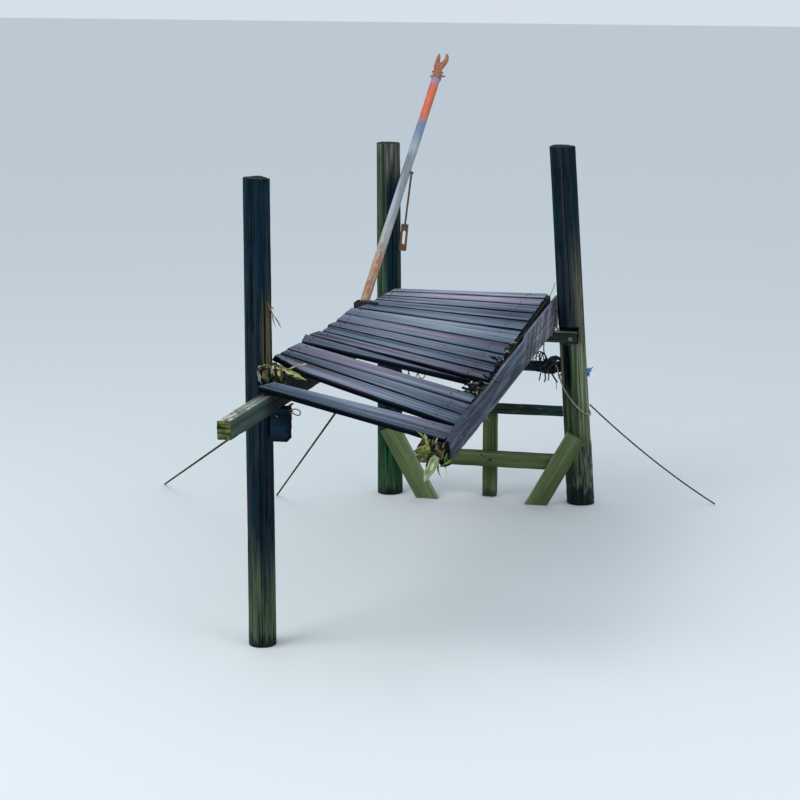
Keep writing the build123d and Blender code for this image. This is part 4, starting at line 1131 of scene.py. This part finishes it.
def bolt(origin, axis, size, shank=0.4):
    """A washer, a hexagonal nut and the rounded end of its bolt."""
    washer = turned([(0, 1.35 * size), (0.12 * size, 1.4 * size), (0.24 * size, 1.3 * size)],
                    origin, axis, 20)
    nut = turned([(0.24 * size, 0.95 * size), (0.34 * size, size), (0.9 * size, size),
                  (1.02 * size, 0.86 * size)],
                 origin, axis, 6)
    end = turned([(size, 0.5 * size), ((1 + shank) * size, 0.5 * size), ((1.15 + shank) * size, 0.3 * size)],
                 origin, axis, 12)
    return [washer, nut, end]


def joined(name, solids, material, replaced=(), rounded=False):
    return make_mesh(name, *gather(solids), {}, material, replaced, rounded=rounded)


x_axis, y_axis, z_axis = np.eye(3)
cheek_left, cheek_right, plate = -0.0363, 0.0717, 0.008
cheek = [(-1.300, 1.955), (-1.075, 1.945), (-1.075, 1.985), (-1.105, 2.012), (-1.165, 2.018), (-1.292, 2.021),
         (-1.300, 2.013)]
front_plate = [(-0.036, 1.955), (0.079, 1.955), (0.079, 2.021), (-0.036, 2.021)]
base_plate = [(-0.036, -1.300), (0.079, -1.300), (0.079, -1.075), (-0.036, -1.075)]
strap = [(0.02, -1.300), (0.150, -1.362), (0.190, -1.376), (0.194, -1.358), (0.155, -1.342), (0.079, -1.285),
         (0.02, -1.285)]
joined("pole_bracket.plates", [
    prism(cheek, (cheek_left, 0, 0), y_axis, z_axis, plate),
    prism(cheek, (cheek_right, 0, 0), y_axis, z_axis, plate),
    prism(front_plate, (0, -1.300, 0), x_axis, z_axis, -plate, -0.0015),
    prism(base_plate, (0, 0, 1.948), x_axis, y_axis, plate),
    prism(strap, (0, 0, 2.0205), x_axis, y_axis, 0.019),
], "black_steel", ["pole_bracket"])
pin_profile = [(0, 0.005), (0.001, 0.007), (0.129, 0.007), (0.130, 0.005)]
joined("bracket_pin.steel", [turned(pin_profile, (-0.050, -1.145, 2.003), x_axis)]
       + bolt((cheek_left, -1.145, 2.003), -x_axis, 0.010), "black_steel", ["bracket_pin"])
joined("pale_bolts", bolt((0.007, -1.301, 1.969), -y_axis, 0.009, 0.1)
       + bolt((1.688, -0.151, 1.546), -y_axis, 0.014, 0.5), "pale_steel")


# Ropes
rope_green = (rgb(20, 26, 14), rgb(72, 78, 46), rgb(84, 80, 40))
rope_brown = (rgb(34, 20, 20), rgb(92, 62, 52), rgb(70, 60, 50))
rope_dark = (rgb(4, 14, 20), rgb(44, 54, 64), rgb(66, 62, 66))
rope_pale = (rgb(104, 116, 100), rgb(170, 176, 158), rgb(120, 120, 96))
rope_ends = (rgb(30, 22, 20), rgb(120, 84, 56), rgb(60, 60, 50))
rope_radius = 0.0079


def curve(points, per_span=10):
    """A smooth line through points."""
    p = np.asarray(points, float)
    p = np.concatenate([2 * p[:1] - p[1:2], p, 2 * p[-1:] - p[-2:-1]])
    t = np.linspace(0, 1, per_span, endpoint=False)[:, None]
    spans = [0.5 * (2 * b + (c - a) * t + (2 * a - 5 * b + 4 * c - d) * t ** 2
                    + (3 * b - a - 3 * c + d) * t ** 3)
             for a, b, c, d in zip(p, p[1:], p[2:], p[3:])]
    return np.concatenate(spans + [p[-2:-1]])


def curved(runs):
    """Runs of rope whose paths are given by a few points."""
    return [(radius, colours, curve(points)) for radius, colours, points in runs]


def strands_along(path, radius, lay, strands=3, sides=5, per_turn=9):
    """The strands of a laid rope, each as its mesh and the places of its points along and round it."""
    path = np.asarray(path, float)
    along = along_path(path)
    count = max(12, int(along[-1] / lay * per_turn))
    x = np.linspace(0, along[-1], count)
    centre = np.stack([np.interp(x, along, path[:, c]) for c in range(3)], 1)
    tangents, normals, others = directions(centre, (0.21, 0.35, 0.91))
    strand_r = radius * 0.5
    angles = np.linspace(0, 2 * math.pi, sides, endpoint=False)
    for k in range(strands):
        phase = 2 * math.pi * (x / lay + k / strands)
        out = np.cos(phase)[:, None] * normals + np.sin(phase)[:, None] * others
        middle, side = centre + out * strand_r, np.cross(tangents, out)
        ring = middle[:, None] + strand_r * (np.cos(angles)[:, None] * out[:, None]
                                             + np.sin(angles)[:, None] * side[:, None])
        points = np.concatenate([ring.reshape(-1, 3), middle[:1], middle[-1:]])
        points[:, 2] = np.maximum(points[:, 2], 0.0)
        yield ((points, grid_quads(count, sides), end_fans(count, sides)),
               np.append(np.repeat(x, sides), [0, x[-1]]),
               np.append(np.tile(angles * strand_r, count), [0, 0]) + k)


def merged(fields):
    """The fields of several meshes that are joined."""
    return {key: np.concatenate([one[key] for one in fields]) for key in fields[0]}


def rope(name, runs, replaced=(), seed=1):
    """Laid ropes joined into one piece. Each run is (radius, colours, path)."""
    parts, fields = [], []
    for n, (radius, colours, path) in enumerate(runs):
        for part, x, across in strands_along(path, radius, 8.5 * radius):
            grain = np.stack([x * 6 + n, across, np.full(len(x), seed * 0.3)], 1)
            parts.append(part)
            f = surface(part[0], x=x, s=across, seed=seed + n)
            fields.append(painted(f, grain, plain_paint(*colours)))
    return make_mesh(name, *gather(parts), merged(fields), "rope", replaced)


def end_centres(node):
    """Middle points of a rod's lower and upper end."""
    points = node_points(node)
    z = points[:, 2]
    return [(end.min(0) + end.max(0)) / 2 for end in (points[z < z.min() + 0.02], points[z > z.max() - 0.02])]


for node in ("mooring_rope_left", "mooring_rope_middle"):
    low, high = end_centres(node)
    rope(node + ".strands", [(rope_radius, rope_green, np.linspace(high, low, 60))], [node], seed=41)

rope_top, rope_end = np.array((1.8591, -0.0323, 0.930)), np.array((3.001, 0.157, 0.009))
t = np.linspace(0, 1, 60)[:, None]
hanging = rope_top + (rope_end - rope_top) * t - np.array((0, 0, 0.045)) * 4 * t * (1 - t)
rope("mooring_rope_right.strands", [(rope_radius, rope_brown, hanging)], ["mooring_rope_right"], seed=43)

turn_points = node_points("pile_rope_turn")
turn_middle = (turn_points.min(0) + turn_points.max(0)) / 2
pile_axis = unit((-0.204, -0.125, 3.290))
slant = math.radians(52)
turn_normal = np.array((math.sin(slant), 0, math.cos(slant)))
turn_out = pile_axis - turn_normal * turn_normal.dot(pile_axis)
short_way, long_way = unit(np.cross(turn_out, turn_normal)), unit(turn_out)
round_turn = np.linspace(0, 2 * math.pi, 90)[:, None]
turn_radius = 0.1215 + 0.0086
turn_path = (turn_middle + short_way * turn_radius * np.cos(round_turn)
             + long_way * turn_radius / turn_normal.dot(pile_axis) * np.sin(round_turn))
facing = np.clip(-(turn_path - turn_middle) @ np.array((0.12, 0.99, 0.0)) / turn_radius, 0, 1)
turn_path[:, 2] -= 0.045 * facing ** 1.5
rope("pile_rope_turn.strands", [(rope_radius, rope_pale, turn_path)], ["pile_rope_turn"], seed=45)


def squared(value):
    """A sine or cosine that stays near its ends for longer, so that a coil comes out squarer."""
    return np.sign(value) * np.abs(value) ** 0.45


coil = np.linspace(0, 7, 7 * 24)[:, None]
coil_angle = 2 * math.pi * coil
coil_path = np.concatenate([1.433 + 0.014 * coil, -0.006 + 0.036 * squared(np.cos(coil_angle)),
                            1.261 + 0.060 * squared(np.sin(coil_angle))], 1)
tangle = [
    (0.015, rope_dark, [(1.388, -0.08, 1.248), (1.444, -0.09, 1.28), (1.499, -0.095, 1.334),
                        (1.552, -0.09, 1.361), (1.591, -0.07, 1.338)]),
    (0.014, rope_dark, [(1.416, -0.08, 1.231), (1.481, -0.09, 1.263), (1.535, -0.09, 1.307),
                        (1.592, -0.075, 1.321)]),
    (0.012, rope_dark, [(1.305, -0.05, 1.303), (1.35, -0.07, 1.263), (1.406, -0.08, 1.249),
                        (1.462, -0.085, 1.224)]),
    (0.015, rope_dark, [(1.311, -0.06, 1.296), (1.386, -0.07, 1.274), (1.451, -0.08, 1.306),
                        (1.514, -0.08, 1.36), (1.577, -0.07, 1.356), (1.598, -0.05, 1.288)]),
    (0.014, rope_dark, [(1.321, -0.06, 1.25), (1.395, -0.065, 1.231), (1.469, -0.07, 1.263),
                        (1.523, -0.075, 1.318), (1.559, -0.07, 1.346)]),
    (0.012, rope_dark, [(1.301, -0.055, 1.272), (1.367, -0.06, 1.243), (1.432, -0.065, 1.233),
                        (1.505, -0.07, 1.251), (1.562, -0.08, 1.228)]),
    (0.009, rope_dark, [(1.37, -0.09, 1.323), (1.417, -0.09, 1.27), (1.454, -0.09, 1.216)]),
    (0.009, rope_dark, [(1.471, -0.095, 1.338), (1.445, -0.095, 1.281), (1.436, -0.095, 1.216)]),
    (0.01, rope_dark, [(1.498, -0.09, 1.347), (1.535, -0.09, 1.303), (1.563, -0.09, 1.239)]),
    (0.006, rope_dark, [(1.338, -0.06, 1.316), (1.342, -0.06, 1.381), (1.365, -0.06, 1.405),
                        (1.392, -0.06, 1.383), (1.412, -0.06, 1.31)]),
    (0.006, rope_dark, [(1.367, -0.07, 1.31), (1.375, -0.07, 1.384), (1.403, -0.07, 1.41),
                        (1.43, -0.07, 1.377), (1.441, -0.07, 1.304)]),
    (0.006, rope_dark, [(1.393, -0.06, 1.309), (1.402, -0.06, 1.374), (1.419, -0.06, 1.403),
                        (1.447, -0.06, 1.371), (1.467, -0.06, 1.294)]),
    (0.005, rope_dark, [(1.355, -0.08, 1.339), (1.377, -0.08, 1.368), (1.405, -0.08, 1.355),
                        (1.424, -0.08, 1.305)]),
    (0.006, rope_dark, [(1.414, -0.075, 1.313), (1.418, -0.075, 1.368), (1.44, -0.075, 1.392),
                        (1.463, -0.075, 1.361), (1.496, -0.075, 1.298)]),
    (0.006, rope_dark, [(1.445, -0.12, 1.498), (1.44, -0.08, 1.417), (1.458, -0.07, 1.36),
                        (1.485, -0.06, 1.294)]),
    (0.007, rope_ends, [(1.416, -0.08, 1.231), (1.407, -0.08, 1.175), (1.401, -0.08, 1.142)]),
    (0.008, rope_ends, [(1.448, -0.08, 1.232), (1.458, -0.08, 1.168), (1.447, -0.08, 1.13)]),
    (0.007, rope_ends, [(1.479, -0.08, 1.243), (1.489, -0.08, 1.183), (1.481, -0.08, 1.146)]),
    (0.009, rope_dark, [(1.497, -0.075, 1.242), (1.534, -0.075, 1.179), (1.567, -0.075, 1.13)]),
    (0.003, rope_dark, [(1.556, -0.075, 1.152), (1.559, -0.075, 1.106), (1.557, -0.075, 1.064)]),
    (0.008, rope_pale, [(1.524, -0.08, 1.337), (1.561, -0.08, 1.274), (1.577, -0.09, 1.212),
                        (1.588, -0.1, 1.168)]),
]
rope("rope_lashing.strands", [(0.0085, rope_dark, coil_path)] + curved(tangle), ["rope_lashing"], seed=47)
rope("rail_loops", curved([
    (0.005, rope_dark, [(0.112, -0.05, 1.233), (0.126, -0.05, 1.13), (0.159, -0.05, 1.108),
                        (0.187, -0.05, 1.17), (0.187, -0.05, 1.236)]),
    (0.005, rope_dark, [(0.171, -0.06, 1.237), (0.199, -0.06, 1.126), (0.241, -0.06, 1.104),
                        (0.274, -0.06, 1.167), (0.274, -0.06, 1.242)]),
    (0.005, rope_dark, [(0.253, -0.05, 1.239), (0.286, -0.05, 1.118), (0.328, -0.05, 1.116),
                        (0.342, -0.05, 1.177), (0.337, -0.05, 1.243)]),
]), seed=48)
deck_cord = [(1.54, -0.14, 2.053), (1.527, -0.14, 2.007), (1.487, -0.14, 1.915)]
rope("deck_cord", curved([(0.003, rope_dark, deck_cord)]), seed=49)


# Shackle and hook
def steel_paint(f):
    grey = np.full(f.P.shape, 0.5)
    return grey, grey


shackle_path = curve([(0.233, -4.533, 1.804), (0.256, -4.533, 1.811), (0.282, -4.533, 1.818),
                      (0.308, -4.533, 1.815), (0.326, -4.533, 1.799), (0.321, -4.533, 1.778),
                      (0.299, -4.533, 1.774), (0.274, -4.533, 1.785), (0.248, -4.533, 1.797)], 12)
tube("shackle.ring", shackle_path, 0.0045, "pale_steel", steel_paint, ["shackle"], 12)
joined("shackle.nut", bolt((0.246, -4.533, 1.8017), x_axis, 0.013, 0.8), "dark_steel")
hook_path = curve([(1.518, -0.158, 1.582), (1.522, -0.158, 1.623), (1.544, -0.158, 1.649),
                   (1.571, -0.158, 1.648), (1.576, -0.158, 1.625)], 12)
tube("crosshead_hook", hook_path, 0.008, "pale_steel", steel_paint, sides=12)


# Splinters and shreds where the timbers have broken
straw, leaf_green = (rgb(128, 124, 84), rgb(206, 202, 150)), (rgb(70, 88, 34), rgb(150, 166, 84))
moss_green, pale_green = (rgb(48, 66, 28), rgb(108, 130, 56)), (rgb(120, 138, 102), rgb(188, 200, 168))
bark_brown, grey_wood = (rgb(30, 28, 22), rgb(112, 96, 78)), (rgb(70, 68, 66), rgb(150, 142, 134))
board_green, litter_dark = (rgb(132, 150, 112), rgb(182, 194, 160)), (rgb(4, 10, 16), rgb(34, 38, 44))
twig_brown = (rgb(46, 30, 24), rgb(116, 88, 60))


def slivers(name, parts, material="splinter", seed=1, sides=7, rows=14, rough=0.3):
    """Splinters joined into one piece. Each is (root, tip, width, thickness, bend, colours)."""
    pieces, fields = [], []
    angles, t = np.linspace(0, 2 * math.pi, sides, endpoint=False), np.linspace(0, 1, rows)
    for n, (root, tip, width, thickness, bend, colours) in enumerate(parts):
        root, tip = np.array(root), np.array(tip)
        length = np.linalg.norm(tip - root)
        run = (tip - root) / length
        side = unit(np.cross(run, (0.15, -0.97, 0.2)))
        body = np.clip((1 - t) * 2.4, 0.03, 1) ** 0.7 * (0.7 + 0.3 * smooth(0, 0.2, t))
        sway = bend * length * 4 * t * (1 - t) * 0.5 + 0.5 * rough * width * noise(t * 4, n * 3.1, 0, seed)
        centre = root + run * (t * length)[:, None] + side * sway[:, None]
        bumps = 1 + rough * noise(np.cos(angles) * 1.3 + n, t[:, None] * length / 0.03, 0, seed + 3)
        wide, deep = (body[:, None] * bumps * reach
                      for reach in (np.cos(angles) * width / 2, np.sin(angles) * thickness / 2))
        ring = centre[:, None] + wide[..., None] * side + deep[..., None] * np.cross(side, run)
        points = np.concatenate([ring.reshape(-1, 3), centre[:1], centre[-1:] + run * 0.002])
        pieces.append((points, grid_quads(rows, sides), end_fans(rows, sides)))
        if colours:
            x = np.append(np.repeat(t * length, sides), [0, length])
            across = np.append(np.tile(angles * width / 4, rows), [0, 0])
            grain = np.stack([x + n * 1.7, across, np.full(len(x), seed * 0.4)], 1)
            tone = mix(*colours, smooth(-0.4, 0.5, noise(x / 0.04, across / 0.006, n, seed + 5)))
            fields.append(painted(surface(points), grain, lambda f: (tone, tone * 0.35)))
    return make_mesh(name, *gather(pieces), merged(fields) if fields else {}, material)


def thrown(root, way, lengths, widths, thicknesses, bend, colours):
    """A splinter from root along way, with its sizes drawn between limits."""
    tip = root + way / np.linalg.norm(way) * random.uniform(*lengths)
    sizes = (random.uniform(*widths), random.uniform(*thicknesses), random.uniform(-bend, bend))
    return root, tip, *sizes, colours


slivers("splinters_right", [
    ((1.347, -4.95, 1.707), (1.282, -5.03, 1.82), 0.022, 0.01, 0.22, leaf_green),
    ((1.354, -5.0, 1.723), (1.336, -5.03, 1.805), 0.02, 0.008, 0.05, straw),
    ((1.338, -4.98, 1.771), (1.271, -4.98, 1.668), 0.04, 0.016, -0.1, bark_brown),
    ((1.367, -4.98, 1.701), (1.252, -4.98, 1.658), 0.05, 0.018, 0.05, leaf_green),
    ((1.374, -4.98, 1.673), (1.286, -4.98, 1.623), 0.052, 0.018, 0.05, moss_green),
    ((1.33, -5.01, 1.709), (1.27, -5.01, 1.682), 0.014, 0.006, 0.1, straw),
    ((1.327, -5.01, 1.681), (1.304, -5.01, 1.711), 0.012, 0.006, 0.1, straw),
    ((1.425, -5.0, 1.773), (1.402, -5.0, 1.727), 0.011, 0.006, 0.05, pale_green),
    ((1.475, -5.0, 1.743), (1.461, -5.0, 1.704), 0.01, 0.006, 0.05, straw),
    ((1.436, -4.98, 1.737), (1.442, -4.98, 1.648), 0.055, 0.02, 0.0, bark_brown),
    ((1.388, -4.98, 1.667), (1.416, -4.98, 1.714), 0.016, 0.01, 0.1, bark_brown),
    ((1.508, -5.02, 1.69), (1.483, -5.02, 1.631), 0.012, 0.008, 0.0, leaf_green),
    ((1.53, -5.02, 1.641), (1.45, -5.02, 1.58), 0.016, 0.01, -0.18, moss_green),
    ((1.531, -5.01, 1.602), (1.437, -5.01, 1.572), 0.014, 0.01, -0.08, bark_brown),
    ((1.485, -5.01, 1.714), (1.454, -5.01, 1.613), 0.014, 0.008, 0.04, bark_brown),
    ((1.498, -5.0, 1.606), (1.516, -5.0, 1.678), 0.012, 0.008, 0.05, bark_brown),
], seed=81)
shards = []
for n in range(34):
    root = np.array((random.uniform(1.30, 1.46), random.uniform(-4.93, -4.80), random.uniform(1.60, 1.74)))
    way = np.array((random.normal(-0.1, 0.5), -1.0 * random.uniform(0.4, 1.0), random.normal(-0.25, 0.5)))
    shards.append(thrown(root, way, (0.07, 0.19), (0.008, 0.022), (0.005, 0.012), 0.25,
                         (bark_brown, bark_brown, moss_green, grey_wood, straw)[n % 5]))
slivers("splinters_beam_end", shards, seed=99)
slivers("splinters_left", [
    ((0.033, -4.59, 2.103), (0.052, -4.59, 2.005), 0.022, 0.016, 0.05, grey_wood),
    ((0.092, -4.575, 2.107), (0.084, -4.575, 2.012), 0.056, 0.016, 0.0, bark_brown),
    ((0.082, -4.585, 2.057), (0.106, -4.585, 2.017), 0.036, 0.014, 0.0, moss_green),
    ((0.182, -4.56, 2.115), (0.191, -4.56, 2.023), 0.04, 0.024, 0.05, bark_brown),
    ((0.183, -4.58, 2.104), (0.19, -4.58, 2.061), 0.024, 0.016, 0.05, straw),
    ((0.118, -4.46, 2.118), (0.342, -4.57, 2.076), 0.044, 0.014, 0.03, leaf_green),
    ((0.146, -4.5, 2.11), (0.39, -4.59, 2.051), 0.026, 0.01, 0.02, straw),
    ((0.241, -4.52, 2.08), (0.362, -4.59, 2.051), 0.022, 0.01, 0.04, leaf_green),
    ((0.292, -4.56, 2.073), (0.235, -4.56, 2.072), 0.012, 0.006, 0.1, moss_green),
    ((0.124, -4.58, 2.127), (0.153, -4.58, 2.066), 0.022, 0.014, 0.1, grey_wood),
    ((0.16, -4.56, 2.161), (0.118, -4.56, 2.131), 0.028, 0.016, 0.1, grey_wood),
    ((0.152, -4.56, 2.159), (0.181, -4.56, 2.122), 0.02, 0.012, 0.1, grey_wood),
    ((0.2, -4.253, 1.793), (0.2, -4.586, 1.811), 0.022, 0.010, 0.0, straw),
    ((0.169, -4.56, 1.755), (0.146, -4.58, 1.779), 0.010, 0.008, 0.1, leaf_green),
], seed=83)
slivers("rail_splinters", [
    ((0.862, -0.150, 0.452), (0.930, -0.156, 0.352), 0.007, 0.005, 0.02, grey_wood),
    ((0.896, -0.150, 0.420), (0.868, -0.154, 0.455), 0.010, 0.006, 0.05, litter_dark),
    ((0.955, -0.148, 0.404), (0.978, -0.156, 0.392), 0.018, 0.012, 0.1, litter_dark),
    ((0.972, -0.150, 0.392), (0.982, -0.154, 0.372), 0.007, 0.006, 0.1, litter_dark),
    ((0.897, -0.040, 0.790), (0.938, -0.046, 0.742), 0.010, 0.006, 0.05, grey_wood),
], seed=103)
litter = []
for n in range(52):
    share = random.uniform(0, 1) ** 0.8
    root = np.array((1.478, -4.52, 1.752)) + np.array((0, 2.3, 0.148)) * share + random.normal(0, 0.006, 3)
    way = np.array((random.normal(0.2, 0.4), random.normal(0.3, 0.7), random.uniform(-0.15, 0.3)))
    litter.append(thrown(root, way, (0.03, 0.10), (0.007, 0.018), (0.005, 0.012), 0.2,
                         grey_wood if n % 5 == 4 else litter_dark))
for n in range(30):
    root = np.array((random.uniform(1.33, 1.42), random.uniform(-3.66, -3.40), random.uniform(1.775, 1.835)))
    way = np.array((random.uniform(0.4, 1.0), random.normal(0, 0.35), random.normal(0.05, 0.3)))
    litter.append(thrown(root, way, (0.05, 0.13), (0.012, 0.030), (0.008, 0.016), 0.2,
                         litter_dark if n % 7 else grey_wood))
slivers("deck_litter", litter, seed=105)
slivers("loose_strand", [
    ((0.098, -4.57, 2.601), (0.162, -4.57, 2.48), 0.009, 0.006, 0.04, twig_brown),
    ((0.163, -4.6, 2.5), (0.21, -4.6, 2.418), 0.008, 0.005, -0.06, twig_brown),
    ((0.146, -4.6, 2.536), (0.167, -4.6, 2.424), 0.008, 0.005, 0.08, leaf_green),
    ((0.125, -4.59, 2.577), (0.158, -4.59, 2.552), 0.006, 0.004, 0.0, twig_brown),
], seed=85)
slivers("splinter_board", [((1.415, -4.965, 1.632), (1.33, -5.0, 1.455), 0.066, 0.020, 0.02, board_green)],
        seed=87, sides=20, rows=24, rough=0.08)
slivers("splinter_board_edge", [((1.386, -4.985, 1.632), (1.331, -5.012, 1.475), 0.008, 0.008, 0.02, straw)],
        seed=88, rough=0.1)
slivers("plank_split", [
    ((0.344, -4.418, 2.131), (0.268, -4.662, 2.138), 0.014, 0.006, 0.03, straw),
    ((0.146, -4.523, 2.146), (0.274, -4.671, 2.138), 0.012, 0.006, 0.05, grey_wood),
], seed=89, rough=0.15)
slivers("blue_scrap", [
    ((1.836, -0.05, 1.252), (1.888, -0.05, 1.288), 0.014, 0.006, 0.2, None),
    ((1.836, -0.05, 1.243), (1.878, -0.05, 1.241), 0.018, 0.006, -0.2, None),
    ((1.84, -0.05, 1.234), (1.853, -0.05, 1.188), 0.022, 0.006, 0.1, None),
    ((1.84, -0.06, 1.273), (1.859, -0.06, 1.222), 0.024, 0.008, 0.1, None),
    ((1.831, -0.05, 1.229), (1.835, -0.05, 1.2), 0.014, 0.006, 0.1, None),
], "blue_scrap", seed=91)


def rim_paint(f):
    """The pale broken rim of the left beam's end."""
    tone = mix(rgb(40, 48, 32), rgb(160, 172, 130), smooth(-0.3, 0.5, noise(*f.P.T / 0.012, 93)))
    return tone, tone * 0.3


rim_path = curve([(0.022, -4.575, 2.089), (0.03, -4.575, 2.114), (0.053, -4.575, 2.13),
                  (0.085, -4.575, 2.134), (0.115, -4.575, 2.131), (0.134, -4.575, 2.113),
                  (0.135, -4.575, 2.083)], 12)
rim_radius = 0.016 + 0.007 * noise(np.arange(len(rim_path)) / 4.0, 2.0, 0, 95)
tube("beam_rim", rim_path, rim_radius, "splinter", rim_paint, sides=14, dents=0.010, seed=97)

# Nails
nail_profile = [(-0.004, 0.006), (0.0015, 0.0062), (0.0030, 0.0045), (0.0036, 0.0015)]
nails = [turned(nail_profile, spot, z_axis, 10) for spot in nail_spots]
joined("deck_nails", nails, "black_steel", rounded=True)


# Floor and light
floor_corners = [(-60, -60, -0.002), (60, -60, -0.002), (60, 80, -0.002), (-60, 80, -0.002)]
floor_mesh = bpy.data.meshes.new("floor")
floor_mesh.from_pydata(floor_corners, [], [(0, 1, 2, 3)])
floor = bpy.data.objects.new("floor", floor_mesh)
scene_objects.link(floor)
floor_material, _, floor_shader = new_material("floor")
feed(floor_shader, {"Base Color": (0.72, 0.76, 0.78, 1.0), "Roughness": 0.9})
floor_mesh.materials.append(floor_material)

world = bpy.data.worlds.new("world")
bpy.context.scene.world = world
world.use_nodes = True
feed(world.node_tree.nodes["Background"], {"Color": (0.80, 0.88, 0.95, 1.0), "Strength": 0.85})


def area_light(name, location, target, size, power):
    data = bpy.data.lights.new(name, "AREA")
    data.size, data.energy = size, power
    lamp = bpy.data.objects.new(name, data)
    lamp.location = location
    lamp.rotation_mode = "QUATERNION"
    lamp.rotation_quaternion = (Vector(target) - Vector(location)).to_track_quat("-Z", "Y")
    scene_objects.link(lamp)


deck_middle = (0.8, -2.3, 1.5)
area_light("key", (-6.0, -9.0, 11.0), deck_middle, 7.0, 700.0)
area_light("fill", (9.0, -8.0, 7.0), deck_middle, 6.0, 220.0)

bpy.context.scene.view_settings.view_transform = "Standard"
